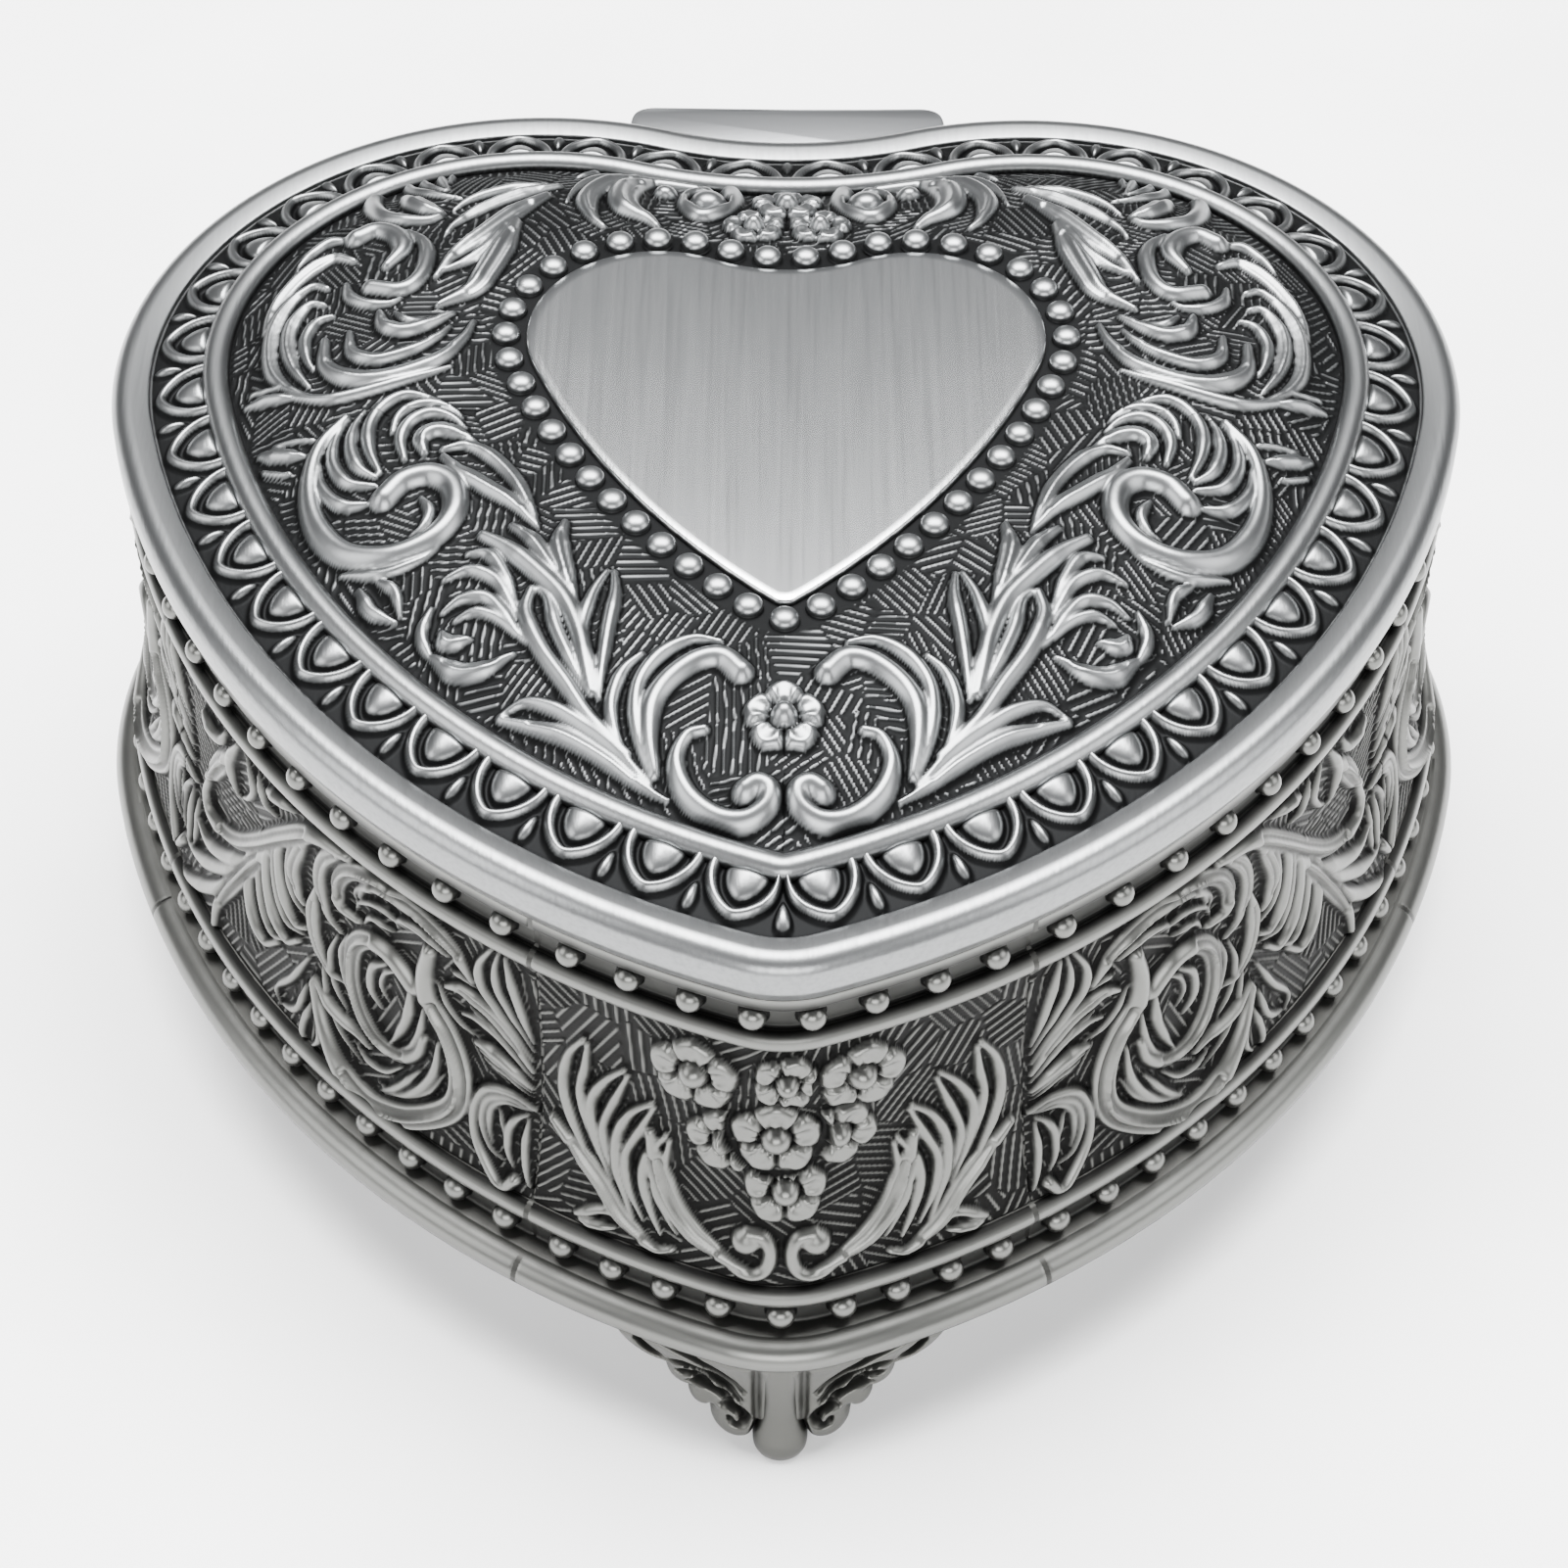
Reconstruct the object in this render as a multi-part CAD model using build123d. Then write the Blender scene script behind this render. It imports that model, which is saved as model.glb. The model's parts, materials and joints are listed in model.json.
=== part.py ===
"""Heart-shaped pewter music box with a hinged lid, three feet and an eighteen-note movement.

Frame: +Z up, front (tip of the heart) at -Y, width along X, origin at the middle of the
footprint on the surface that the feet stand on.  The shapes are drawn about the heart's own
axis and moved along Y at the end.
"""
from build123d import *
from collections import namedtuple
import math
import os

# ---- heart outline of the lid, widest line: four tangent arcs a side --------------------
CLEFT_R = 29.0
LOBE_X = 19.0
LOBE_Y = 16.5
LOBE_R = 31.0
SIDE_R = 71.0
TIP_R = 9.0
TIP_Y = -42.3

# ---- heart plate on top of the lid ------------------------------------------------------
PLATE_CLEFT_R = 13.0
PLATE_LOBE_X = 9.5
PLATE_LOBE_Y = 14.2
PLATE_LOBE_R = 9.5
PLATE_SIDE_R = 60.0
PLATE_TIP_R = 1.2
PLATE_TIP_Y = -14.0
PLATE_RISE = 0.5
BEAD_RING_GAP = 0.4
BEAD_RING_W = 2.1
BEAD_RING_RISE = 0.5

# ---- case wall: heights of its mouldings, bottom to top ---------------------------------
FOOT_H = 10.4
FLARE_EDGE_H = 0.5
FLARE_H = 1.8
FLARE_STEP_H = 0.3
FLARE_BULGE = 0.3
BEAD_BAND_H = 2.2
RAIL_H = 2.0
FIELD_H = 23.35
FIELD_CURVE_H = 16.8
FIELD_CURVE_MID_H = 7.3
TOP_RAIL_H = 1.8
TOP_BEAD_STEP_H = 0.15
TOP_BEAD_BAND_H = 2.15
TOP_BAND_H = 1.1

# ---- case wall: offsets from the heart outline, outward positive ------------------------
FLARE_OUT = 3.9
FLARE_TOP_OUT = 2.2
BEAD_BAND_OUT = 0.9
RAIL_STANDS = 1.0
FIELD_MID_OUT = -0.75
FIELD_OUT = -1.3
TOP_RAIL_STANDS = 0.95
TOP_BEAD_BAND_OUT = -1.5
TOP_BAND_OUT = -0.8
WALL_IN = -3.0
RECESS_IN = -0.9
SEAM_X = 17.2

# ---- base plate and its screws ----------------------------------------------------------
RECESS_DEPTH = 0.2
BASE_PLATE_T = 1.2
BASE_PLATE_GAP = 0.1
BOSS_R = 2.6
BOSS_INSET = 5.2
BOSS_H = 5.5
SCREW_R = 0.8
SCREW_HEAD_R = 1.7
SCREW_HEAD_H = 1.2
SCREW_END_GAP = 0.5
SCREW_SLOT_W = 0.4
SCREW_SLOT_DEPTH = 0.5
SIDE_SCREW_ANGLE = -22.0
KEY_HOLE_R = 3.2

# ---- feet -------------------------------------------------------------------------------
FOOT_TOE_OUT = 4.6
FOOT_WING_OUT = 3.7
FOOT_IN = 1.2
FOOT_HALF_W = 11.3
RIB_W = 3.6
RIB_WAIST_OUT = 0.15
TOE_H = 1.7
TOE_EDGE_H = 0.5
TOE_BEVEL = 0.5
HEEL_W = 1.0
HEEL_H = 2.1
WING_HOLLOW = 0.4
WING_LIP = 0.2
WING_LOW_H = 1.56
LUG_W = 6.0
FOOT_SPREAD = 10.0
LUG_T = 2.2
REAR_FOOT_ANGLE = 50.0

# ---- lid --------------------------------------------------------------------------------
LID_GAP = 0.2
RIM_TUCK = 0.6
RIM_TUCK_H = 1.3
RIM_H = 3.0
RIM_ROUND = 1.05
RIM_W = 2.85
CHANNEL_W = 4.1
CHANNEL_DROP = 0.4
CHANNEL_RISE = 1.0
LID_RAIL_W = 1.9
LID_RAIL_STANDS = 1.1
LID_T = 1.3
LIP_W = 1.0
LIP_DEPTH = 1.9
LIP_GAP = 0.2
RIM_EDGE_DROP = 0.25
RIM_KNEE = (0.57, 0.79)
RIM_CREST_IN = 1.57
RAIL_ROUND = 0.3
RAIL_END_RISE = 0.6
RAIL_UNDER_RISE = 0.5
LID_UNDER_RISE = 0.3
DOME_T = 1.04
DOME_ROOT = 0.85
DOME_GAP = 0.15
DOME_BASE_H = 4.8
DOME_STEPS = ((0.4, 5.1), (3.0, 6.5), (8.0, 7.9), (14.0, 8.8))

# ---- hinge ------------------------------------------------------------------------------
PIN_BEHIND = 1.4
PIN_BELOW_LID = 1.8
PIN_R = 0.8
KNUCKLE_R = 1.5
KNUCKLE_WEB_Y = (-1.3, 0.9)
KNUCKLE_HALF_W = 4.0
OUTER_KNUCKLE_W = 4.2
TAB_HALF_W = 13.0
TAB_TAPER = 0.6
TAB_BEHIND = 2.3
TAB_T = 2.7
TAB_CORNER_R = 1.5
TAB_ROOT = 4.2
HINGE_BLOCK_HALF_W = 9.0
HINGE_BLOCK_H = 9.6
HINGE_BLOCK_BEHIND_PIN = -1.5
HINGE_BLOCK_BELOW_PIN = 0.9
HINGE_ARM_ROOT = 1.4
HINGE_ARM_T = 1.2
RIVET_BELOW_TOP = 5.95
RIVET_X = 5.5
RIVET_R = 0.85
RIVET_HEAD_R = 1.6
RIVET_HEAD_H = 0.8
RIVET_SUNK = 0.1

# ---- linings, tray and cover ------------------------------------------------------------
LINING_T = 0.9
LINING_GAP = 0.1
LINING_TOP_GAP = 2.0
TRAY_T = 1.0
TRAY_FLOOR_T = 1.6
TRAY_SEAT_GAP = 0.1
TRAY_BACK_Y = -5.8
PARTITION_T = 1.5
COVER_T = 1.5
COVER_ABOVE_BED = 20.5
COVER_LEDGE_W = 2.0
COVER_LEDGE_H = 2.0
ROD_SLOT_HALF_W = 1.1
LID_PAD_T = 2.6
LID_PAD_GAP = 0.2
LID_PAD_INSET = 5.4

# ---- movement ---------------------------------------------------------------------------
FAN_WALL_GAP = 1.85
BED_X = 50.0
BED_Y = 40.0
BED_T = 2.0
BED_CORNER_R = 2.0
LEG_H = 2.0
LEG_SKIN = 0.3
BED_SCREWS = ((-21.0, -15.5), (21.0, -15.5), (0.0, 15.5))
BARREL_X = -14.0
TRAIN_Y = 6.0
BARREL_R = 9.5
BARREL_H = 6.5
BARREL_WALL = 0.8
BARREL_TOP_T = 0.9
CROWN_TEETH = 48
CROWN_FACE = 1.1
CROWN_TOOTH_H = 0.8
CROWN_PITCH_H = 0.45
CROWN_TOOTH_SHARE = 0.34
CROWN_TOOTH_SETBACK = 0.05
CROWN_PINION_TEETH = 12
CROWN_PINION_ADDENDUM = 0.38
CROWN_PINION_DEDENDUM = 0.5
TOOTH_ROOT_SHARE = 0.25
TOOTH_TIP_SHARE = 0.1
SPRING_T = 0.35
SPRING_TURNS = 5
SPRING_HUB_GAP = 0.5
ARBOR_R = 1.5
ARBOR_TOP_R = 0.9
BRIDGE_T = 1.3
BRIDGE_ABOVE_TEETH = 0.6
BRIDGE_X = (-16.5, -7.4)
BRIDGE_HALF_Y = 13.0
BRIDGE_POST = 2.4
CHEEK_T = 2.2
CHEEK_HALF_Y = 2.4
JOURNAL_COVER = 1.4
DRUM_R = 6.5
DRUM_X = (-3.5, 14.5)
DRUM_WALL = 1.1
DRUM_END_T = 1.0
PIN_TRACKS = 18
PINS_A_TRACK = 5
DRUM_PIN_R = 0.2
DRUM_PIN_H = 0.6
DRUM_PIN_ROOT = 0.4
PIN_TURN = 137.5
PIN_START = 20.0
CYLINDER_ARBOR_R = 1.2
JOURNAL_R = 0.9
CYLINDER_GEAR_X = 16.9
CYLINDER_GEAR_TEETH = 40
FINE_MODULE = 0.3
FINE_PINION_TEETH = 8
FINE_ADDENDUM = 0.26
CYLINDER_GEAR_DEDENDUM = 0.38
FINE_PINION_DEDENDUM = 0.36
WHEEL_DEDENDUM = 0.34
GEAR_T = 1.0
CENTRE_SLACK = 0.08
BEARING_X = 18.6
BEARING_T = 1.5
BEARING_HALF_Y = 3.0
COMB_TEETH = 18
COMB_T = 0.7
COMB_BODY_Y = (-18.0, -10.5)
COMB_TIP_GAP = 0.08
COMB_SLOT_W = 0.25
COMB_SHORTER = 0.12
RAIL_MARGIN = 0.4
COMB_SCREW_R = 0.9
COMB_SCREW_X = (1.0, 10.0)
COMB_SCREW_LENGTH = 5.0
GOVERNOR_X = (15.2, 24.2)
GOVERNOR_Y = (11.4, 20.0)
GOVERNOR_T = 1.2
GOVERNOR_FOOT_T = 1.4
GOVERNOR_CUP_H = 0.4
TOP_BAR_BEFORE_WORM = 1.3
TOP_BAR_GAP = 0.5
WORM_X = 21.0
WHEEL_TEETH = 24
WHEEL_R = 3.6
WHEEL_T = 1.2
WORM_R = 1.4
WORM_CORE_R = 1.0
WORM_TURNS = 4.0
THREAD_H = 0.34
THREAD_W = 0.3
THREAD_ROOT_SHARE = 0.7
THREAD_TIP_SHARE = 0.35
THREAD_PHASE = 0.25
WORM_END = 0.6
FINE_SHAFT_R = 0.5
SHAFT_END_GAP = 0.1
FAN_W = 8.4
FAN_H = 3.6
FAN_T = 0.3
FAN_HUB_R = 1.1
FAN_GAP = 0.7
LEVER_T = 0.8
PIVOT_R = 0.7
PIVOT_HEAD_H = 0.7
LEVER_PIVOT = (12.0, 4.4)
LEVER_REACH = 12.0
LEVER_W = 2.4
LEVER_SWING = 8.0
LEVER_ROD_R = 0.5
LEVER_FAN_GAP = 0.3
BLADE_Y = (-0.9, 0.7)

# ---- winding key ------------------------------------------------------------------------
KEY_W = 18.0
KEY_T = 1.6
KEY_FLOOR_GAP = 1.0
KEY_TOP_GAP = 0.6
KEY_HUB_R = 2.8
KEY_HUB_H = 2.4
KEY_LOOP_R = 2.0
KEY_HUB_FLOOR = 0.3
KEY_HANDLE_RISE = 0.6
KEY_WEB_SHARE = 0.45
KEY_REST_TURN = 35.0

# ---- clearances -------------------------------------------------------------------------
RUN_GAP = 0.06
FIT_GAP = 0.05
SIDE_GAP = 0.2
SOFT_GAP = 0.3
PRESS_GAP = 0.01
ROOT = 0.5
SHARP_TIP_R = 0.05

# ---- leaf wing of a foot: shares of its half width and height, outer end first ----------
WING_SHAPE = (
    (1.0, 1.0), (0.905, 0.81), (0.72, 0.68), (0.66, 0.56), (0.565, 0.45),
    (0.50, 0.36), (0.40, 0.335), (0.305, 0.20), (0.12, 0.18),
)

Arc = namedtuple("Arc", "centre radius start end outward")


class Heart:
    """A heart outline symmetric about the Y axis; the right half runs cleft, lobe, side, tip."""

    def __init__(self, cleft_r, lobe_x, lobe_y, lobe_r, side_r, tip_r, tip_y):
        lobe = (lobe_x, lobe_y)
        cleft = (0.0, lobe_y + math.sqrt((cleft_r + lobe_r) ** 2 - lobe_x**2))
        tip = (0.0, tip_y + tip_r)
        side = self.side_centre(lobe, side_r - lobe_r, tip, side_r - tip_r)
        to_lobe = self.heading(cleft, lobe)
        from_lobe = self.heading(side, lobe)
        to_tip = self.heading(side, tip)
        self.cleft = Arc(cleft, cleft_r, -90.0, to_lobe, -1)
        self.lobe = Arc(lobe, lobe_r, to_lobe + 180.0, from_lobe, 1)
        self.side = Arc(side, side_r, from_lobe, to_tip, 1)
        self.tip = Arc(tip, tip_r, to_tip, -90.0, 1)

    @staticmethod
    def heading(start, end):
        return math.degrees(math.atan2(end[1] - start[1], end[0] - start[0]))

    @staticmethod
    def side_centre(lobe, lobe_distance, tip, tip_distance):
        """Point at the two given distances, on the far side of the line from lobe to tip."""
        dx = tip[0] - lobe[0]
        dy = tip[1] - lobe[1]
        gap = math.hypot(dx, dy)
        along = (lobe_distance**2 - tip_distance**2 + gap**2) / (2 * gap)
        across = math.sqrt(lobe_distance**2 - along**2)
        return (
            lobe[0] + along * dx / gap + across * dy / gap,
            lobe[1] + along * dy / gap - across * dx / gap,
        )

    def point(self, arc, angle, offset):
        radius = arc.radius + arc.outward * offset
        turn = math.radians(angle)
        return (arc.centre[0] + radius * math.cos(turn), arc.centre[1] + radius * math.sin(turn))

    def seam_angle(self, x):
        """Angle on the side arc where the outline stands at the given X."""
        return -math.degrees(math.acos((x - self.side.centre[0]) / self.side.radius))

    def half_edges(self, offset):
        arcs = [self.lobe]
        side_radius = self.side.radius + offset
        if self.tip.radius + offset > SHARP_TIP_R:
            arcs += [self.side, self.tip]
        else:
            end = -math.degrees(math.acos(-self.side.centre[0] / side_radius))
            arcs += [self.side._replace(end=end)]
        edges = []
        for arc in arcs:
            radius = arc.radius + arc.outward * offset
            edges.append(CenterArc(arc.centre, radius, arc.start, arc.end - arc.start))
        return edges

    def face(self, offset):
        """Flat heart at the given offset; past the tip's radius its tip is sharp."""
        right = self.half_edges(offset)
        left = [mirror(edge, about=Plane.YZ) for edge in right]
        half_turn = self.cleft.end - self.cleft.start
        top = CenterArc(self.cleft.centre, self.cleft.radius - offset, -90 - half_turn, 2 * half_turn)
        return make_face([top] + right + left)

    def slab(self, offset, low, high):
        return Pos(0, 0, low) * extrude(self.face(offset), high - low)


OUTER = Heart(CLEFT_R, LOBE_X, LOBE_Y, LOBE_R, SIDE_R, TIP_R, TIP_Y)
PLATE = Heart(
    PLATE_CLEFT_R, PLATE_LOBE_X, PLATE_LOBE_Y, PLATE_LOBE_R, PLATE_SIDE_R, PLATE_TIP_R, PLATE_TIP_Y
)

# ---- heights that follow from the sizes above -------------------------------------------
FLARE_TOP_Z = FOOT_H + FLARE_H
BEAD_BAND_Z = FLARE_TOP_Z + FLARE_STEP_H
RAIL_Z = BEAD_BAND_Z + BEAD_BAND_H
FIELD_Z = RAIL_Z + RAIL_H
TOP_RAIL_Z = FIELD_Z + FIELD_H
TOP_BEAD_BAND_Z = TOP_RAIL_Z + TOP_RAIL_H + TOP_BEAD_STEP_H
TOP_BAND_Z = TOP_BEAD_BAND_Z + TOP_BEAD_BAND_H
WALL_TOP_Z = TOP_BAND_Z + TOP_BAND_H
LID_Z = WALL_TOP_Z + LID_GAP
PLATE_BOTTOM_Z = FOOT_H + RECESS_DEPTH
PLATE_TOP_Z = PLATE_BOTTOM_Z + BASE_PLATE_T
BOSS_TOP_Z = PLATE_TOP_Z + BOSS_H
BED_TOP_Z = PLATE_TOP_Z + LEG_H + BED_T
COVER_Z = BED_TOP_Z + COVER_ABOVE_BED
COVER_TOP_Z = COVER_Z + COVER_T
LINING_TOP_Z = WALL_TOP_Z - LINING_TOP_GAP
PIN_Z = LID_Z - PIN_BELOW_LID
LOBE_BACK_Y = LOBE_Y + LOBE_R
PIN_Y = LOBE_BACK_Y + PIN_BEHIND
CLEFT_Y = OUTER.cleft.centre[1] - CLEFT_R
BARREL_Z = BED_TOP_Z + SOFT_GAP
BARREL_TOP_Z = BARREL_Z + BARREL_H
BRIDGE_Z = BARREL_TOP_Z + CROWN_TOOTH_H + BRIDGE_ABOVE_TEETH
CROWN_R = BARREL_R - CROWN_FACE / 2
CROWN_PINION_R = CROWN_R * CROWN_PINION_TEETH / CROWN_TEETH
AXIS_Z = BARREL_TOP_Z + CROWN_PITCH_H + CROWN_PINION_R
GEAR_R = FINE_MODULE * CYLINDER_GEAR_TEETH / 2
FINE_PINION_R = FINE_MODULE * FINE_PINION_TEETH / 2
IDLER_Y = TRAIN_Y + GEAR_R + FINE_PINION_R + CENTRE_SLACK
WORM_Y = IDLER_Y + WHEEL_R + WORM_R + CENTRE_SLACK
WORM_PITCH = 2 * math.pi * WHEEL_R / WHEEL_TEETH
WORM_HALF_H = WORM_PITCH * WORM_TURNS / 2 + WORM_END
TOP_BAR_Z = AXIS_Z + WORM_HALF_H + TOP_BAR_GAP
FAN_Z = TOP_BAR_Z + GOVERNOR_T + FAN_GAP
KEY_TOP_Z = PLATE_BOTTOM_Z - KEY_TOP_GAP
FRONT_Y = TIP_Y - FOOT_TOE_OUT
BACK_Y = LOBE_BACK_Y + FLARE_OUT
CUT_REACH = 2 * (LOBE_X + LOBE_R)
FAN_REACH = LOBE_R + WALL_IN - FAN_WALL_GAP - FAN_W / 2
MOVEMENT_Y = LOBE_Y + math.sqrt(FAN_REACH**2 - (WORM_X - LOBE_X) ** 2) - WORM_Y
Y_SHIFT = -(FRONT_Y + BACK_Y) / 2


def rod(x, y, low, high, radius):
    """Upright round bar."""
    return Pos(x, y, (low + high) / 2) * Cylinder(radius, high - low)


def rod_x(y, z, low, high, radius):
    """Round bar along X."""
    return Pos((low + high) / 2, y, z) * Rot(0, 90, 0) * Cylinder(radius, high - low)


def rod_y(x, z, low, high, radius):
    """Round bar along Y."""
    return Pos(x, (low + high) / 2, z) * Rot(90, 0, 0) * Cylinder(radius, high - low)


def block(x, y, z):
    """Box between two X, two Y and two Z values."""
    middle = Pos((x[0] + x[1]) / 2, (y[0] + y[1]) / 2, (z[0] + z[1]) / 2)
    return middle * Box(x[1] - x[0], y[1] - y[0], z[1] - z[0])


def fuse(pieces):
    whole = pieces[0]
    for piece in pieces[1:]:
        whole = whole + piece
    return whole


def section_face(arc, angle, steps):
    """Closed section of (offset, height) steps; a step of two points is an arc through the first."""
    turn = math.radians(angle)
    plane = Plane(
        origin=(arc.centre[0], arc.centre[1], 0),
        x_dir=(math.cos(turn), math.sin(turn), 0),
        z_dir=(math.sin(turn), -math.cos(turn), 0),
    )

    def place(step):
        return (arc.radius + arc.outward * step[0], step[1])

    edges = []
    here = place(steps[0])
    for step in steps[1:] + steps[:1]:
        if isinstance(step[0], tuple):
            there = place(step[1])
            edges.append(ThreePointArc(here, place(step[0]), there))
        else:
            there = place(step)
            edges.append(Line(here, there))
        here = there
    return plane * make_face(edges)


def sweep_arc(arc, steps):
    """The section carried round one arc of the heart."""
    low = min(arc.start, arc.end)
    face = section_face(arc, low, steps)
    axis = Axis((arc.centre[0], arc.centre[1], 0), (0, 0, 1))
    return revolve(face, axis, abs(arc.end - arc.start))


def half_ring(heart, steps):
    return fuse([sweep_arc(arc, steps) for arc in (heart.cleft, heart.lobe, heart.side, heart.tip)])


def full_ring(heart, steps):
    right = half_ring(heart, steps)
    return right + mirror(right, about=Plane.YZ)


# ---- case -------------------------------------------------------------------------------
def wall_steps():
    rail_mid = (BEAD_BAND_OUT + RAIL_STANDS, RAIL_Z + RAIL_H / 2)
    top_rail_mid = (FIELD_OUT + TOP_RAIL_STANDS, TOP_RAIL_Z + TOP_RAIL_H / 2)
    flare_mid_z = (FOOT_H + FLARE_EDGE_H + FLARE_TOP_Z) / 2 + FLARE_BULGE
    flare_mid = ((FLARE_OUT + FLARE_TOP_OUT) / 2 + FLARE_BULGE, flare_mid_z)
    return [
        (RECESS_IN, FOOT_H),
        (FLARE_OUT, FOOT_H),
        (FLARE_OUT, FOOT_H + FLARE_EDGE_H),
        (flare_mid, (FLARE_TOP_OUT, FLARE_TOP_Z)),
        (BEAD_BAND_OUT, BEAD_BAND_Z),
        (BEAD_BAND_OUT, RAIL_Z),
        (rail_mid, (BEAD_BAND_OUT, FIELD_Z)),
        ((FIELD_MID_OUT, FIELD_Z + FIELD_CURVE_MID_H), (FIELD_OUT, FIELD_Z + FIELD_CURVE_H)),
        (FIELD_OUT, TOP_RAIL_Z),
        (top_rail_mid, (FIELD_OUT, TOP_RAIL_Z + TOP_RAIL_H)),
        (TOP_BEAD_BAND_OUT, TOP_BEAD_BAND_Z),
        (TOP_BEAD_BAND_OUT, TOP_BAND_Z),
        (TOP_BAND_OUT, TOP_BAND_Z),
        (TOP_BAND_OUT, WALL_TOP_Z),
        (WALL_IN, WALL_TOP_Z),
        (WALL_IN, PLATE_TOP_Z),
        (RECESS_IN, PLATE_TOP_Z),
    ]


def boss(arc, angle):
    """Screw boss inside the wall, standing on the base plate, with its tapped hole."""
    x, y = OUTER.point(arc, angle, -BOSS_INSET)
    solid = rod(x, y, PLATE_TOP_Z, BOSS_TOP_Z, BOSS_R)
    hole = rod(x, y, PLATE_TOP_Z, BOSS_TOP_Z, SCREW_R + FIT_GAP)
    return solid, hole


def wall_front():
    seam = OUTER.seam_angle(SEAM_X)
    side = OUTER.side._replace(start=seam)
    right = sweep_arc(side, wall_steps()) + sweep_arc(OUTER.tip, wall_steps())
    solid, hole = boss(OUTER.tip, -90)
    return right + mirror(right, about=Plane.YZ) + solid - hole


def cover_ledge():
    """Ledge round the lobe that carries the clear cover."""
    steps = [
        (WALL_IN + ROOT, COVER_Z - COVER_LEDGE_H - COVER_LEDGE_W),
        (WALL_IN, COVER_Z - COVER_LEDGE_H - COVER_LEDGE_W),
        (WALL_IN - COVER_LEDGE_W, COVER_Z - COVER_LEDGE_H),
        (WALL_IN - COVER_LEDGE_W, COVER_Z),
        (WALL_IN + ROOT, COVER_Z),
    ]
    return sweep_arc(OUTER.lobe, steps)


def wall_right():
    seam = OUTER.seam_angle(SEAM_X)
    arcs = (OUTER.cleft, OUTER.lobe, OUTER.side._replace(end=seam))
    solid = fuse([sweep_arc(arc, wall_steps()) for arc in arcs]) + cover_ledge()
    for arc, angle in ((OUTER.lobe, REAR_FOOT_ANGLE), (OUTER.side, SIDE_SCREW_ANGLE)):
        post, hole = boss(arc, angle)
        solid = solid + post - hole
    rivet_hole = rod_y(RIVET_X, RIVET_Z, CLEFT_Y + WALL_IN - ROOT, PIN_Y, RIVET_R + FIT_GAP)
    return solid - rivet_hole


def wall_left():
    return mirror(wall_right(), about=Plane.YZ)


def base_screw_places():
    """Screws through the base plate alone, one a side."""
    x, y = OUTER.point(OUTER.side, SIDE_SCREW_ANGLE, -BOSS_INSET)
    return [(x, y), (-x, y)]


def foot_screw_places():
    x, y = OUTER.point(OUTER.lobe, REAR_FOOT_ANGLE, -BOSS_INSET)
    return [(0.0, TIP_Y + BOSS_INSET), (x, y), (-x, y)]


def bed_screw_places():
    return [(x, y + MOVEMENT_Y) for x, y in BED_SCREWS]


def base_plate():
    plate = OUTER.slab(RECESS_IN - BASE_PLATE_GAP, PLATE_BOTTOM_Z, PLATE_TOP_Z)
    for x, y in base_screw_places() + foot_screw_places() + bed_screw_places():
        plate = plate - rod(x, y, PLATE_BOTTOM_Z, PLATE_TOP_Z, SCREW_R + 2 * FIT_GAP)
    return plate - rod(BARREL_X, TRAIN_Y + MOVEMENT_Y, PLATE_BOTTOM_Z, PLATE_TOP_Z, KEY_HOLE_R)


def screw(x, y, head_top, end):
    """Pan-head screw driven upward."""
    head = rod(x, y, head_top - SCREW_HEAD_H, head_top, SCREW_HEAD_R)
    return head + rod(x, y, head_top - SCREW_HEAD_H / 2, end, SCREW_R)


def foot_screws():
    lug_bottom = FOOT_H - LUG_T
    return [screw(x, y, lug_bottom, BOSS_TOP_Z - SCREW_END_GAP) for x, y in foot_screw_places()]


def base_screws():
    return [screw(x, y, PLATE_BOTTOM_Z, BOSS_TOP_Z - SCREW_END_GAP) for x, y in base_screw_places()]


def movement_screws():
    return [screw(x, y, PLATE_BOTTOM_Z, BED_TOP_Z - SCREW_END_GAP) for x, y in bed_screw_places()]


def foot_outline():
    """Right half of the foot seen from outside: scalloped edge of the leaf wing."""
    return [(x * FOOT_HALF_W, z * FOOT_H) for x, z in WING_SHAPE]


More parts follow.
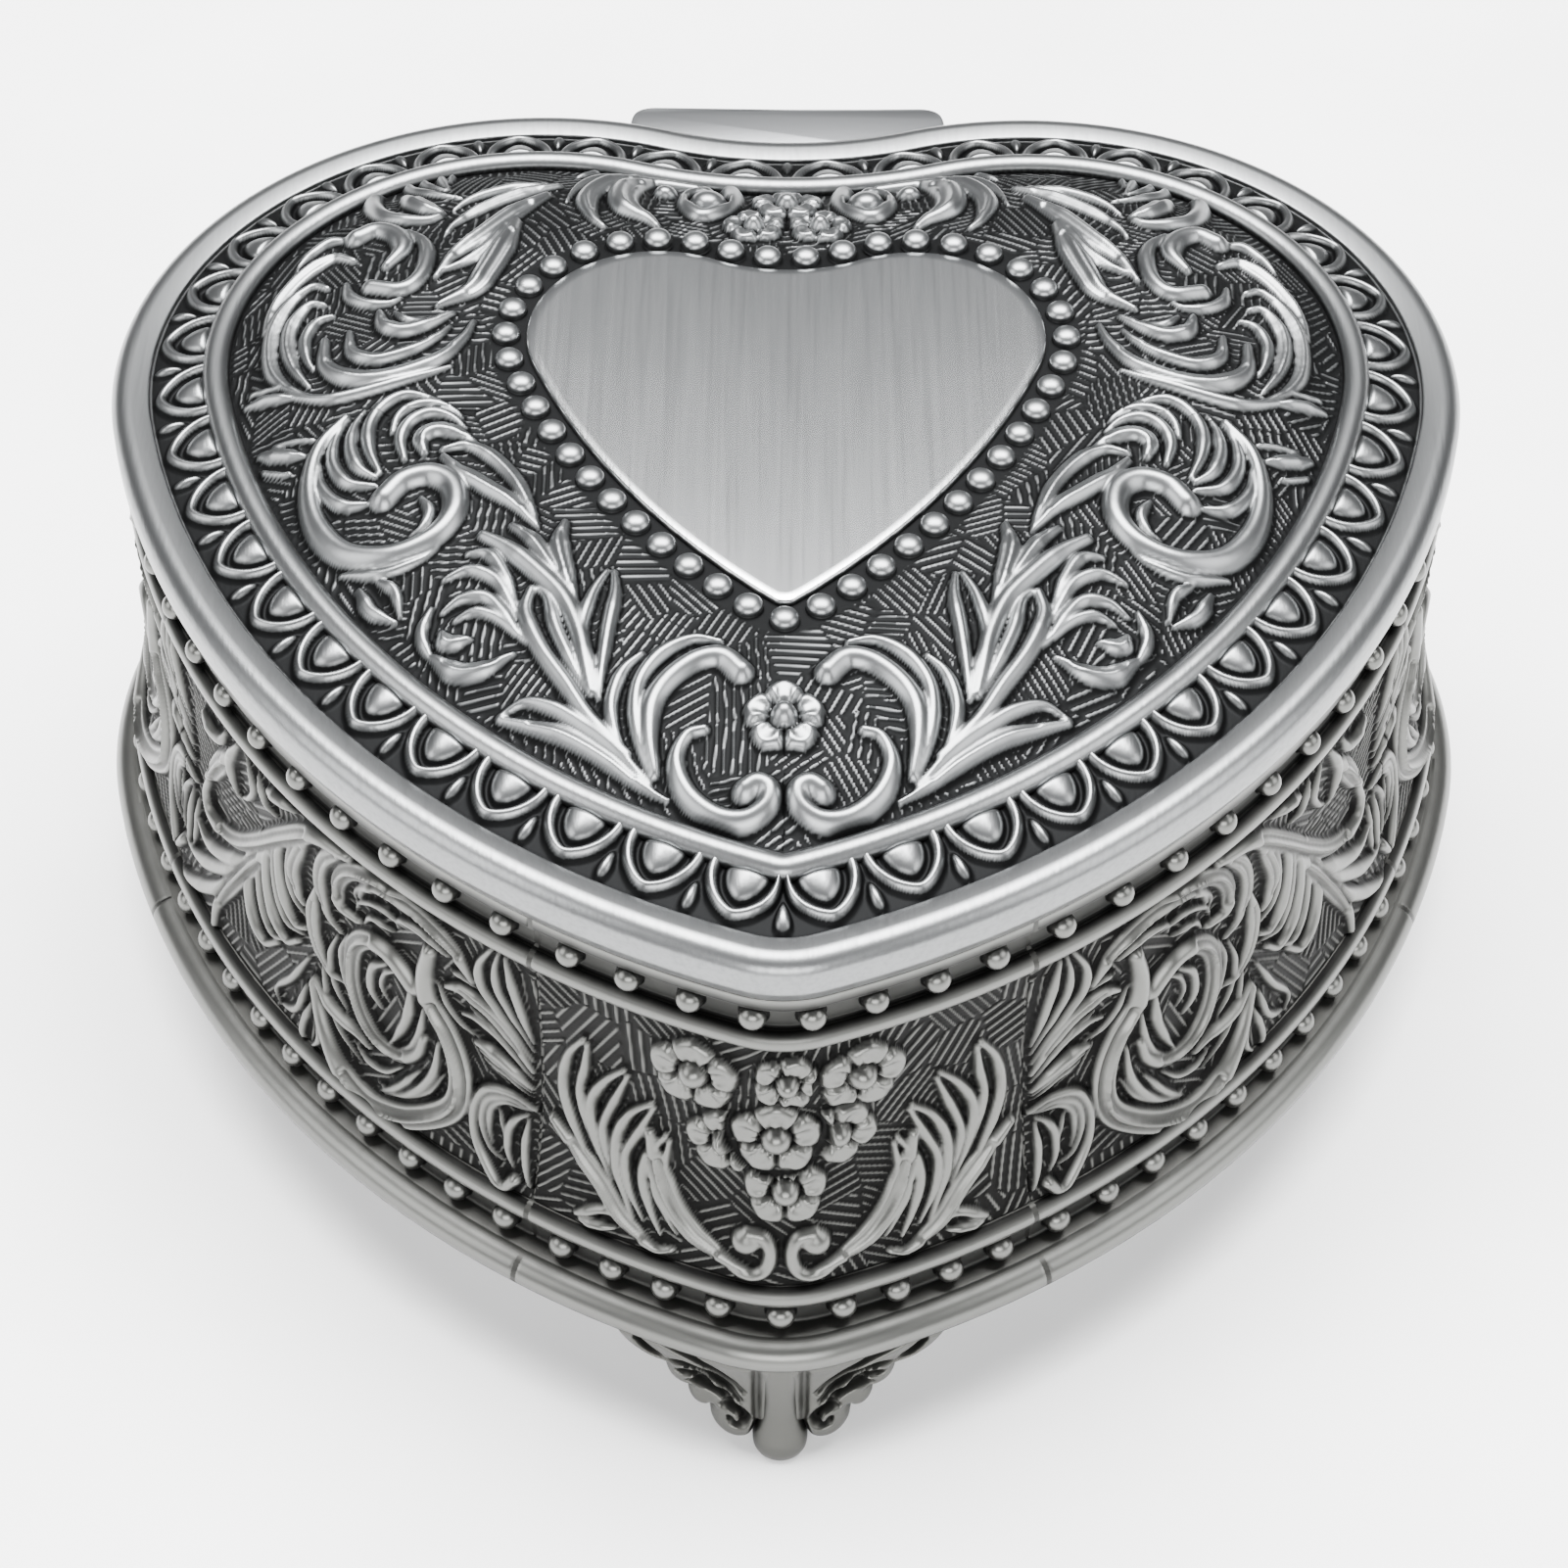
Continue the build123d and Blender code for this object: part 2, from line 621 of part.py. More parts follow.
def foot(arc, angle):
    """Cast foot: two leaf wings that follow the wall, a flared rib with its toe, and a screw lug."""
    waist = (FOOT_WING_OUT - WING_HOLLOW, (FOOT_H + WING_LOW_H) / 2)
    steps = [
        (FOOT_IN, FOOT_H),
        (FOOT_WING_OUT, FOOT_H),
        (waist, (FOOT_WING_OUT + WING_LIP, WING_LOW_H)),
        (FOOT_IN, WING_LOW_H),
    ]
    spread = math.degrees(math.asin(min(1, FOOT_HALF_W / (arc.radius + FOOT_IN)))) + FOOT_SPREAD
    shell = sweep_arc(arc._replace(start=angle - spread, end=angle + spread), steps)
    radial = Pos(arc.centre[0], arc.centre[1], 0) * Rot(0, 0, angle + 90)
    half = foot_outline()
    points = half + [(-x, z) for x, z in reversed(half)]
    outline = make_face(Polyline(points, close=True))
    cutter = radial * extrude(Plane.XZ * outline, 2 * arc.radius)
    wings = shell & cutter
    toe = arc.radius + FOOT_TOE_OUT
    inner = arc.radius + FOOT_IN
    rib_points = [
        (inner, FOOT_H), (arc.radius + FOOT_WING_OUT, FOOT_H),
        (arc.radius + FOOT_WING_OUT + RIB_WAIST_OUT, FOOT_H / 2), (toe, TOE_H),
        (toe, TOE_EDGE_H), (toe - TOE_BEVEL, 0), (inner + HEEL_W, 0), (inner, HEEL_H),
    ]
    side_view = make_face(Polyline([(-r, z) for r, z in rib_points], close=True))
    rib = radial * extrude(Plane.YZ * side_view, RIB_W / 2, both=True)
    lug_face = (-(inner + ROOT), -(arc.radius - BOSS_INSET - LUG_W / 2))
    lug = radial * block((-LUG_W / 2, LUG_W / 2), lug_face, (FOOT_H - LUG_T, FOOT_H))
    x, y = OUTER.point(arc, angle, -BOSS_INSET)
    hole = rod(x, y, 0, FOOT_H, SCREW_R + 2 * FIT_GAP)
    return wings + rib + lug - hole


# ---- hinge ------------------------------------------------------------------------------
BLOCK_BACK_Y = PIN_Y + HINGE_BLOCK_BEHIND_PIN
BLOCK_TOP_Z = PIN_Z - HINGE_BLOCK_BELOW_PIN
RIVET_Z = BLOCK_TOP_Z - RIVET_BELOW_TOP


def hinge_block():
    """Bracket riveted into the cleft; its front follows the curve of the wall."""
    width = (-HINGE_BLOCK_HALF_W, HINGE_BLOCK_HALF_W)
    body = block(width, (CLEFT_Y - ROOT, BLOCK_BACK_Y), (BLOCK_TOP_Z - HINGE_BLOCK_H, BLOCK_TOP_Z))
    hollow = rod(0, OUTER.cleft.centre[1], 0, LID_Z, CLEFT_R - FIT_GAP)
    body = body & hollow
    low = KNUCKLE_HALF_W + SIDE_GAP
    high = low + OUTER_KNUCKLE_W
    arm = block((low, high), (BLOCK_BACK_Y - HINGE_ARM_ROOT, PIN_Y), (BLOCK_TOP_Z - HINGE_ARM_T, PIN_Z))
    knuckle = rod_x(PIN_Y, PIN_Z, low, high, KNUCKLE_R)
    bore = rod_x(PIN_Y, PIN_Z, -high, high, PIN_R + PRESS_GAP)
    one_side = arm + knuckle
    solid = body + one_side + mirror(one_side, about=Plane.YZ) - bore
    for x in (-RIVET_X, RIVET_X):
        solid = solid - rod_y(x, RIVET_Z, CLEFT_Y - ROOT, PIN_Y, RIVET_R + FIT_GAP)
    return solid


def hinge_pin():
    reach = KNUCKLE_HALF_W + SIDE_GAP + OUTER_KNUCKLE_W
    return rod_x(PIN_Y, PIN_Z, -reach, reach, PIN_R)


def hinge_rivets():
    inner = OUTER.cleft.centre[1] - math.sqrt((CLEFT_R - WALL_IN) ** 2 - RIVET_X**2) + RIVET_SUNK
    rivets = []
    for x in (-RIVET_X, RIVET_X):
        shank = rod_y(x, RIVET_Z, inner, BLOCK_BACK_Y, RIVET_R)
        head = rod_y(x, RIVET_Z, BLOCK_BACK_Y, BLOCK_BACK_Y + RIVET_HEAD_H, RIVET_HEAD_R)
        rivets.append(shank + head)
    return rivets


# ---- lid --------------------------------------------------------------------------------
RIM_TOP_Z = LID_Z + RIM_H + RIM_ROUND
CHANNEL_Z = RIM_TOP_Z - CHANNEL_DROP - RIM_EDGE_DROP
LID_RAIL_Z = CHANNEL_Z + CHANNEL_RISE
CHANNEL_IN = RIM_W + CHANNEL_W
RAIL_IN = CHANNEL_IN + LID_RAIL_W
DOME_IN = max(RAIL_IN, TIP_R) + DOME_GAP
LIP_OUT = -WALL_IN + LINING_T + LINING_GAP + LIP_GAP
LIP_IN = LIP_OUT + LIP_W
PLATE_FACE_Z = LID_Z + DOME_STEPS[-1][1] + PLATE_RISE
LID_UNDER_Z = CHANNEL_Z - LID_T + LID_UNDER_RISE
LID_PAD_TOP_Z = LID_UNDER_Z - LID_PAD_GAP


def lid_ring_steps():
    crest = (-CHANNEL_IN - LID_RAIL_W / 2, LID_RAIL_Z + LID_RAIL_STANDS + RAIL_ROUND)
    return [
        (-RIM_TUCK, LID_Z),
        (0.0, LID_Z + RIM_TUCK_H),
        (0.0, LID_Z + RIM_H),
        ((-RIM_KNEE[0], LID_Z + RIM_H + RIM_KNEE[1]), (-RIM_CREST_IN, RIM_TOP_Z)),
        (-RIM_W, RIM_TOP_Z - RIM_EDGE_DROP),
        (-RIM_W, CHANNEL_Z),
        (-CHANNEL_IN, LID_RAIL_Z),
        (crest, (-RAIL_IN, LID_RAIL_Z + RAIL_END_RISE)),
        (-RAIL_IN, LID_RAIL_Z - LID_T + RAIL_UNDER_RISE),
        (-LIP_IN, LID_UNDER_Z),
        (-LIP_IN, LID_Z - LIP_DEPTH),
        (-LIP_OUT, LID_Z - LIP_DEPTH),
        (-LIP_OUT, LID_Z),
    ]


def dome(inset, drop):
    """Stack of hearts from the rail up to the plate, each smaller and higher."""
    faces = []
    for further, height in ((0.0, DOME_BASE_H),) + DOME_STEPS:
        faces.append(Pos(0, 0, LID_Z + height - drop) * OUTER.face(-DOME_IN - further - inset))
    return loft(faces, ruled=True)


def lid_shell():
    ring = full_ring(OUTER, lid_ring_steps())
    low = LID_RAIL_Z - LID_T + RAIL_END_RISE
    outer = dome(0, 0) + OUTER.slab(DOME_ROOT - RAIL_IN, low, LID_Z + DOME_BASE_H)
    inner = dome(DOME_T, LID_T) + OUTER.slab(-DOME_IN - DOME_T, LID_Z, LID_Z + DOME_BASE_H - LID_T)
    crown = LID_Z + DOME_STEPS[-1][1]
    plate = PLATE.slab(0, crown - LID_T / 2, PLATE_FACE_Z)
    bead_ring = PLATE.slab(BEAD_RING_GAP + BEAD_RING_W, crown - LID_T / 2, PLATE_FACE_Z + BEAD_RING_RISE)
    bead_ring = bead_ring - PLATE.slab(BEAD_RING_GAP, crown - LID_T / 2, PLATE_FACE_Z + BEAD_RING_RISE)
    shell = ring + (outer - inner) + bead_ring + plate
    back = LOBE_BACK_Y + TAB_BEHIND
    root = LOBE_BACK_Y - TAB_ROOT
    corners = [
        (-TAB_HALF_W, root), (TAB_HALF_W, root),
        (TAB_HALF_W - TAB_TAPER, back), (-TAB_HALF_W + TAB_TAPER, back),
    ]
    tab = Pos(0, 0, LID_Z) * extrude(make_face(Polyline(corners, close=True)), TAB_T)
    back_edges = tab.edges().filter_by(Axis.Z).sort_by(Axis.Y)[-2:]
    tab = fillet(back_edges, TAB_CORNER_R)
    width = (-KNUCKLE_HALF_W, KNUCKLE_HALF_W)
    web = block(width, (PIN_Y + KNUCKLE_WEB_Y[0], PIN_Y + KNUCKLE_WEB_Y[1]), (PIN_Z, LID_Z + ROOT))
    knuckle = rod_x(PIN_Y, PIN_Z, -KNUCKLE_HALF_W, KNUCKLE_HALF_W, KNUCKLE_R)
    bore = rod_x(PIN_Y, PIN_Z, -KNUCKLE_HALF_W, KNUCKLE_HALF_W, PIN_R + RUN_GAP)
    return shell + tab + web + knuckle - bore


def lid_pad():
    """Padded lining under the lid."""
    return OUTER.slab(-LID_PAD_INSET, LID_PAD_TOP_Z - LID_PAD_T, LID_PAD_TOP_Z)


# ---- inside of the case -----------------------------------------------------------------
def before(y):
    return block((-CUT_REACH, CUT_REACH), (-CUT_REACH, y), (0, CUT_REACH))


def behind(y):
    return block((-CUT_REACH, CUT_REACH), (y, CUT_REACH), (0, CUT_REACH))


def velvet_tray():
    """Lined compartment in the tip of the heart, open upward."""
    bottom = BOSS_TOP_Z + TRAY_SEAT_GAP
    outside = OUTER.slab(WALL_IN - SOFT_GAP, bottom, LINING_TOP_Z) & before(TRAY_BACK_Y)
    floor = bottom + TRAY_FLOOR_T
    inside = OUTER.slab(WALL_IN - SOFT_GAP - TRAY_T, floor, LINING_TOP_Z) & before(TRAY_BACK_Y - TRAY_T)
    return outside - inside


def partition():
    """Upright board between the tray and the movement; it carries the front of the cover."""
    front = TRAY_BACK_Y + SOFT_GAP
    reach = OUTER.side.radius + WALL_IN - SOFT_GAP
    across = front - OUTER.side.centre[1]
    half = OUTER.side.centre[0] + math.sqrt(reach**2 - across**2)
    return block((-half, half), (front, front + PARTITION_T), (PLATE_TOP_Z, COVER_Z))


LEVER_X = GOVERNOR_X[1] + SOFT_GAP
ROD_X = LEVER_X + LEVER_T / 2
ROD_Y = LEVER_PIVOT[0] - LEVER_REACH


def movement_cover():
    """Clear sheet over the movement, slotted for the stop rod."""
    sheet = OUTER.slab(WALL_IN - SOFT_GAP, COVER_Z, COVER_TOP_Z) & behind(TRAY_BACK_Y + SOFT_GAP)
    swing = (COVER_TOP_Z - BED_TOP_Z - LEVER_PIVOT[1]) * math.sin(math.radians(LEVER_SWING))
    y = ROD_Y + MOVEMENT_Y
    slot_x = (ROD_X - ROD_SLOT_HALF_W, ROD_X + ROD_SLOT_HALF_W)
    slot = block(slot_x, (y - ROD_SLOT_HALF_W, y + swing + ROD_SLOT_HALF_W), (COVER_Z, COVER_TOP_Z))
    return sheet - slot


def wall_lining():
    """Soft band on the wall above the cover."""
    low = COVER_TOP_Z + SOFT_GAP
    outside = OUTER.slab(WALL_IN - LINING_GAP, low, LINING_TOP_Z)
    inside = OUTER.slab(WALL_IN - LINING_GAP - LINING_T, low, LINING_TOP_Z)
    return (outside - inside) & behind(TRAY_BACK_Y + SOFT_GAP)


# ---- movement, drawn about the middle of its bedplate -----------------------------------
def toothed(teeth, pitch_r, addendum, dedendum, phase):
    """Outline of a spur gear with straight-sided teeth; phase is the angle of one tooth."""
    step = 360 / teeth
    points = []
    for tooth in range(teeth):
        middle = phase + tooth * step
        for share, radius in (
            (-TOOTH_ROOT_SHARE, pitch_r - dedendum), (-TOOTH_TIP_SHARE, pitch_r + addendum),
            (TOOTH_TIP_SHARE, pitch_r + addendum), (TOOTH_ROOT_SHARE, pitch_r - dedendum),
        ):
            turn = math.radians(middle + share * step)
            points.append((radius * math.cos(turn), radius * math.sin(turn)))
    return make_face(Polyline(points, close=True))


def gear_x(teeth, pitch_r, addendum, dedendum, phase, y, x, thickness):
    """Spur gear on an axis along X; the phase is measured from +Y towards +Z."""
    face = toothed(teeth, pitch_r, addendum, dedendum, phase)
    return Pos(x, y, AXIS_Z) * extrude(Plane.YZ * face, thickness)


def bedplate():
    plate = block((-BED_X / 2, BED_X / 2), (-BED_Y / 2, BED_Y / 2), (BED_TOP_Z - BED_T, BED_TOP_Z))
    plate = fillet(plate.edges().filter_by(Axis.Z), BED_CORNER_R)
    rail_x = (DRUM_X[0] - RAIL_MARGIN, DRUM_X[1] + RAIL_MARGIN)
    plate = plate + block(rail_x, COMB_BODY_Y, (BED_TOP_Z, AXIS_Z - COMB_T / 2))
    for x, y in BED_SCREWS:
        plate = plate + rod(x, y, PLATE_TOP_Z, BED_TOP_Z, BOSS_R)
        plate = plate - rod(x, y, PLATE_TOP_Z, BED_TOP_Z - LEG_SKIN, SCREW_R + FIT_GAP)
    hole_end = AXIS_Z + COMB_T / 2 - COMB_SCREW_LENGTH - SCREW_END_GAP
    for x in COMB_SCREW_X:
        plate = plate - rod(x, comb_screw_y(), hole_end, AXIS_Z, COMB_SCREW_R + FIT_GAP)
    return plate - rod(BARREL_X, TRAIN_Y, BED_TOP_Z - BED_T, BED_TOP_Z, ARBOR_R + RUN_GAP)


def comb_screw_y():
    return (COMB_BODY_Y[0] + COMB_BODY_Y[1]) / 2


def comb():
    """Steel comb: one tooth a track, the bass teeth longest."""
    tip_y = TRAIN_Y - DRUM_R - DRUM_PIN_H - COMB_TIP_GAP
    low = AXIS_Z - COMB_T / 2
    high = AXIS_Z + COMB_T / 2
    pitch = (DRUM_X[1] - DRUM_X[0]) / COMB_TEETH
    solid = block(DRUM_X, COMB_BODY_Y, (low, high))
    for tooth in range(COMB_TEETH):
        left = DRUM_X[0] + tooth * pitch + COMB_SLOT_W / 2
        across = (left, left + pitch - COMB_SLOT_W)
        solid = solid + block(across, (COMB_BODY_Y[1] - ROOT, tip_y), (low, high))
    web_end = COMB_BODY_Y[1] + COMB_SHORTER * COMB_TEETH
    web = make_face(
        Polyline([(DRUM_X[0], COMB_BODY_Y[1] - ROOT), (DRUM_X[1], COMB_BODY_Y[1] - ROOT),
                  (DRUM_X[1], web_end), (DRUM_X[0], COMB_BODY_Y[1])], close=True)
    )
    solid = solid + Pos(0, 0, low) * extrude(web, COMB_T)
    for x in COMB_SCREW_X:
        solid = solid - rod(x, comb_screw_y(), low, high, COMB_SCREW_R + FIT_GAP)
    return solid


def comb_screws():
    top = AXIS_Z + COMB_T / 2
    screws = []
    for x in COMB_SCREW_X:
        head = rod(x, comb_screw_y(), top, top + SCREW_HEAD_H, SCREW_HEAD_R)
        across = (x - SCREW_HEAD_R, x + SCREW_HEAD_R)
        along = (comb_screw_y() - SCREW_SLOT_W / 2, comb_screw_y() + SCREW_SLOT_W / 2)
        head = head - block(across, along, (top + SCREW_HEAD_H - SCREW_SLOT_DEPTH, top + SCREW_HEAD_H))
        screws.append(head + rod(x, comb_screw_y(), top - COMB_SCREW_LENGTH, top, COMB_SCREW_R))
    return screws


def drum():
    """Brass cylinder with its tune pins."""
    length = DRUM_X[1] - DRUM_X[0]
    solid = rod_x(TRAIN_Y, AXIS_Z, DRUM_X[0], DRUM_X[1], DRUM_R)
    solid = solid - rod_x(TRAIN_Y, AXIS_Z, DRUM_X[0] + DRUM_END_T, DRUM_X[1] - DRUM_END_T, DRUM_R - DRUM_WALL)
    solid = solid - rod_x(TRAIN_Y, AXIS_Z, DRUM_X[0], DRUM_X[1], CYLINDER_ARBOR_R + PRESS_GAP)
    pins = []
    for track in range(PIN_TRACKS):
        x = DRUM_X[0] + length * (track + 0.5) / PIN_TRACKS
        for pin in range(PINS_A_TRACK):
            angle = 360 / PINS_A_TRACK * pin + track * PIN_TURN % 360 + PIN_START
            stud = Cylinder(DRUM_PIN_R, DRUM_PIN_H + DRUM_PIN_ROOT)
            stud = Pos(0, 0, DRUM_R + (DRUM_PIN_H - DRUM_PIN_ROOT) / 2) * stud
            pins.append(Pos(x, TRAIN_Y, AXIS_Z) * Rot(angle, 0, 0) * stud)
    return solid + pins


def cylinder_arbor():
    """Steel arbor with the pinion that runs on the crown teeth."""
    left = BARREL_X + CROWN_R - CROWN_FACE / 2
    shaft = rod_x(TRAIN_Y, AXIS_Z, left, CYLINDER_GEAR_X + GEAR_T, CYLINDER_ARBOR_R)
    shaft = shaft + rod_x(TRAIN_Y, AXIS_Z, BRIDGE_X[1] - CHEEK_T + SIDE_GAP, left, JOURNAL_R)
    shaft = shaft + rod_x(TRAIN_Y, AXIS_Z, CYLINDER_GEAR_X + GEAR_T, BEARING_X + BEARING_T, JOURNAL_R)
    phase = -90 + 180 / CROWN_PINION_TEETH
    pinion = gear_x(
        CROWN_PINION_TEETH, CROWN_PINION_R, CROWN_PINION_ADDENDUM, CROWN_PINION_DEDENDUM,
        phase, TRAIN_Y, left, CROWN_FACE,
    )
    return shaft + pinion


def cylinder_gear():
    gear = gear_x(
        CYLINDER_GEAR_TEETH, GEAR_R, FINE_ADDENDUM, CYLINDER_GEAR_DEDENDUM,
        0, TRAIN_Y, CYLINDER_GEAR_X, GEAR_T,
    )
    far = CYLINDER_GEAR_X + GEAR_T
    return gear - rod_x(TRAIN_Y, AXIS_Z, CYLINDER_GEAR_X, far, CYLINDER_ARBOR_R + PRESS_GAP)


def cylinder_bearing():
    """Post that carries the right end of the cylinder."""
    high = AXIS_Z + JOURNAL_R + JOURNAL_COVER
    y = (TRAIN_Y - BEARING_HALF_Y, TRAIN_Y + BEARING_HALF_Y)
    post = block((BEARING_X, BEARING_X + BEARING_T), y, (BED_TOP_Z, high))
    return post - rod_x(TRAIN_Y, AXIS_Z, BEARING_X, BEARING_X + BEARING_T, JOURNAL_R + RUN_GAP)


def spring_barrel():
    """Spring housing: a cup with crown teeth standing on its rim."""
    cup = rod(BARREL_X, TRAIN_Y, BARREL_Z, BARREL_TOP_Z, BARREL_R)
    cup = cup - rod(BARREL_X, TRAIN_Y, BARREL_Z, BARREL_TOP_Z - BARREL_TOP_T, BARREL_R - BARREL_WALL)
    cup = cup - rod(BARREL_X, TRAIN_Y, BARREL_Z, BARREL_TOP_Z, ARBOR_R + RUN_GAP)
    pitch = 2 * math.pi * CROWN_R / CROWN_TEETH
    width = CROWN_TOOTH_SHARE * pitch
    along = (CROWN_R - CROWN_FACE / 2, CROWN_R + CROWN_FACE / 2 - CROWN_TOOTH_SETBACK)
    up = (BARREL_TOP_Z - BARREL_TOP_T / 2, BARREL_TOP_Z + CROWN_TOOTH_H)
    tooth = block(along, (-width / 2, width / 2), up)
    teeth = [
        Pos(BARREL_X, TRAIN_Y, 0) * Rot(0, 0, 360 / CROWN_TEETH * index) * tooth
        for index in range(CROWN_TEETH)
    ]
    return cup + teeth


def barrel_cap():
    radius = BARREL_R - BARREL_WALL - FIT_GAP
    cap = rod(BARREL_X, TRAIN_Y, BARREL_Z, BARREL_Z + BARREL_WALL, radius)
    return cap - rod(BARREL_X, TRAIN_Y, BARREL_Z, BARREL_Z + BARREL_WALL, ARBOR_R + RUN_GAP)


def mainspring():
    """Coiled strip in half turns about two centres, each half turn wider than the last."""
    inner = ARBOR_R + SPRING_HUB_GAP
    outer = BARREL_R - BARREL_WALL - SOFT_GAP
    low = BARREL_Z + BARREL_WALL + SOFT_GAP
    high = BARREL_TOP_Z - BARREL_TOP_T - SOFT_GAP
    step = (outer - inner - SPRING_T) / (2 * SPRING_TURNS)
    coil = []
    for index in range(2 * SPRING_TURNS):
        side = 1 if index % 2 == 0 else -1
        centre = BARREL_X + (step if index % 2 else 0)
        radius = inner + SPRING_T + step * index
        ring = rod(centre, TRAIN_Y, low, high, radius) - rod(centre, TRAIN_Y, low, high, radius - SPRING_T)
        across = (BARREL_X - 2 * BARREL_R, BARREL_X + 2 * BARREL_R)
        half = block(across, sorted((TRAIN_Y, TRAIN_Y + 2 * BARREL_R * side)), (low, high))
        coil.append(ring & half)
    return fuse(coil)


def barrel_bridge():
    """Bridge over the barrel: top bearing of the winding arbor, left bearing of the cylinder."""
    low = BRIDGE_Z
    ends = (TRAIN_Y - BRIDGE_HALF_Y, TRAIN_Y + BRIDGE_HALF_Y)
    strap = block(BRIDGE_X, ends, (low, low + BRIDGE_T))
    cheek_x = (BRIDGE_X[1] - CHEEK_T, BRIDGE_X[1])
    cheek_y = (TRAIN_Y - CHEEK_HALF_Y, TRAIN_Y + CHEEK_HALF_Y)
    cheek = block(cheek_x, cheek_y, (low, AXIS_Z + JOURNAL_R + JOURNAL_COVER))
    solid = strap + cheek
    for y in (ends[0], ends[1] - BRIDGE_POST):
        solid = solid + block(BRIDGE_X, (y, y + BRIDGE_POST), (BED_TOP_Z, low + BRIDGE_T))
    solid = solid - rod_x(TRAIN_Y, AXIS_Z, cheek_x[0], cheek_x[1], JOURNAL_R + RUN_GAP)
    return solid - rod(BARREL_X, TRAIN_Y, low, low + BRIDGE_T, ARBOR_TOP_R + RUN_GAP)


def governor_frame():
    """Cast frame of the air brake: two cheeks, a foot and the worm's top bearing."""
    top = TOP_BAR_Z + GOVERNOR_T
    solid = block(GOVERNOR_X, GOVERNOR_Y, (BED_TOP_Z, BED_TOP_Z + GOVERNOR_FOOT_T))
    for x in (GOVERNOR_X[0], GOVERNOR_X[1] - GOVERNOR_T):
        solid = solid + block((x, x + GOVERNOR_T), GOVERNOR_Y, (BED_TOP_Z, top))
        solid = solid - rod_x(IDLER_Y, AXIS_Z, x, x + GOVERNOR_T, FINE_SHAFT_R + RUN_GAP)
    solid = solid + block(GOVERNOR_X, (WORM_Y - TOP_BAR_BEFORE_WORM, GOVERNOR_Y[1]), (TOP_BAR_Z, top))
    solid = solid - rod(WORM_X, WORM_Y, BED_TOP_Z + GOVERNOR_CUP_H, top, FINE_SHAFT_R + RUN_GAP)
    return solid - rod_x(*lever_pivot(), GOVERNOR_X[1] - GOVERNOR_T, GOVERNOR_X[1], PIVOT_R + PRESS_GAP)


def idler():
    """Governor's first wheel: fine pinion and worm wheel on one arbor."""
    shaft = rod_x(IDLER_Y, AXIS_Z, GOVERNOR_X[0] + SHAFT_END_GAP, GOVERNOR_X[1] - SHAFT_END_GAP, FINE_SHAFT_R)
    phase = 180 + 180 / FINE_PINION_TEETH
    pinion = gear_x(
        FINE_PINION_TEETH, FINE_PINION_R, FINE_ADDENDUM, FINE_PINION_DEDENDUM,
        phase, IDLER_Y, CYLINDER_GEAR_X - SIDE_GAP, GEAR_T + 2 * SIDE_GAP,
    )
    wheel = gear_x(
        WHEEL_TEETH, WHEEL_R, FINE_ADDENDUM, WHEEL_DEDENDUM,
        0, IDLER_Y, WORM_X - WHEEL_T / 2, WHEEL_T,
    )
    return shaft + pinion + wheel


def worm():
    """Governor worm on its upright arbor."""
    start = AXIS_Z - (THREAD_PHASE + WORM_TURNS / 2) * WORM_PITCH
    core = rod(WORM_X, WORM_Y, AXIS_Z - WORM_HALF_H, AXIS_Z + WORM_HALF_H, WORM_CORE_R)
    low = BED_TOP_Z + GOVERNOR_CUP_H + SHAFT_END_GAP
    shaft = rod(WORM_X, WORM_Y, low, FAN_Z + FAN_H, FINE_SHAFT_R)
    path = Helix(WORM_PITCH, WORM_PITCH * WORM_TURNS, WORM_CORE_R)
    tip = WORM_R - WORM_CORE_R + THREAD_H
    root = -THREAD_W / 2
    root_half = THREAD_W * THREAD_ROOT_SHARE
    tip_half = THREAD_W * THREAD_TIP_SHARE
    section = [(root, -root_half), (tip, -tip_half), (tip, tip_half), (root, root_half)]
    plane = Plane(origin=(WORM_CORE_R, 0, 0), x_dir=(1, 0, 0), z_dir=(0, -1, 0))
    thread = sweep(plane * make_face(Polyline(section, close=True)), path=path, is_frenet=True)
    return core + shaft + Pos(WORM_X, WORM_Y, start) * thread


def fan():
    """Air brake: two thin vanes on a hub."""
    hub = rod(WORM_X, WORM_Y, FAN_Z, FAN_Z + FAN_H, FAN_HUB_R)
    vane = block((WORM_X - FAN_W / 2, WORM_X + FAN_W / 2), (WORM_Y - FAN_T / 2, WORM_Y + FAN_T / 2),
                 (FAN_Z, FAN_Z + FAN_H))
    vane = Pos(WORM_X, WORM_Y, 0) * Rot(0, 0, 90) * Pos(-WORM_X, -WORM_Y, 0) * vane
    return hub + vane - rod(WORM_X, WORM_Y, FAN_Z, FAN_Z + FAN_H, FINE_SHAFT_R + PRESS_GAP)



def lever_pivot():
    return (LEVER_PIVOT[0], BED_TOP_Z + LEVER_PIVOT[1])


def rod_top_z():
    """Just under the padded lining of the closed lid."""
    return LID_PAD_TOP_Z - LID_PAD_T - SOFT_GAP


def stop_lever():
    """Rocking lever: the closed lid holds its front rod down and its rear blade up at the fan."""
    y, z = lever_pivot()
    x = (LEVER_X, LEVER_X + LEVER_T)
    blade_y = (WORM_Y + BLADE_Y[0], WORM_Y + BLADE_Y[1])
    arm = block(x, (ROD_Y - LEVER_W / 2, blade_y[1]), (z - LEVER_W / 2, z + LEVER_W / 2))
    blade = block(x, blade_y, (z, FAN_Z - LEVER_FAN_GAP))
    push_rod = rod(ROD_X, ROD_Y, z, rod_top_z(), LEVER_ROD_R)
    bore = rod_x(y, z, x[0], x[1], PIVOT_R + RUN_GAP)
    return arm + blade + push_rod - bore


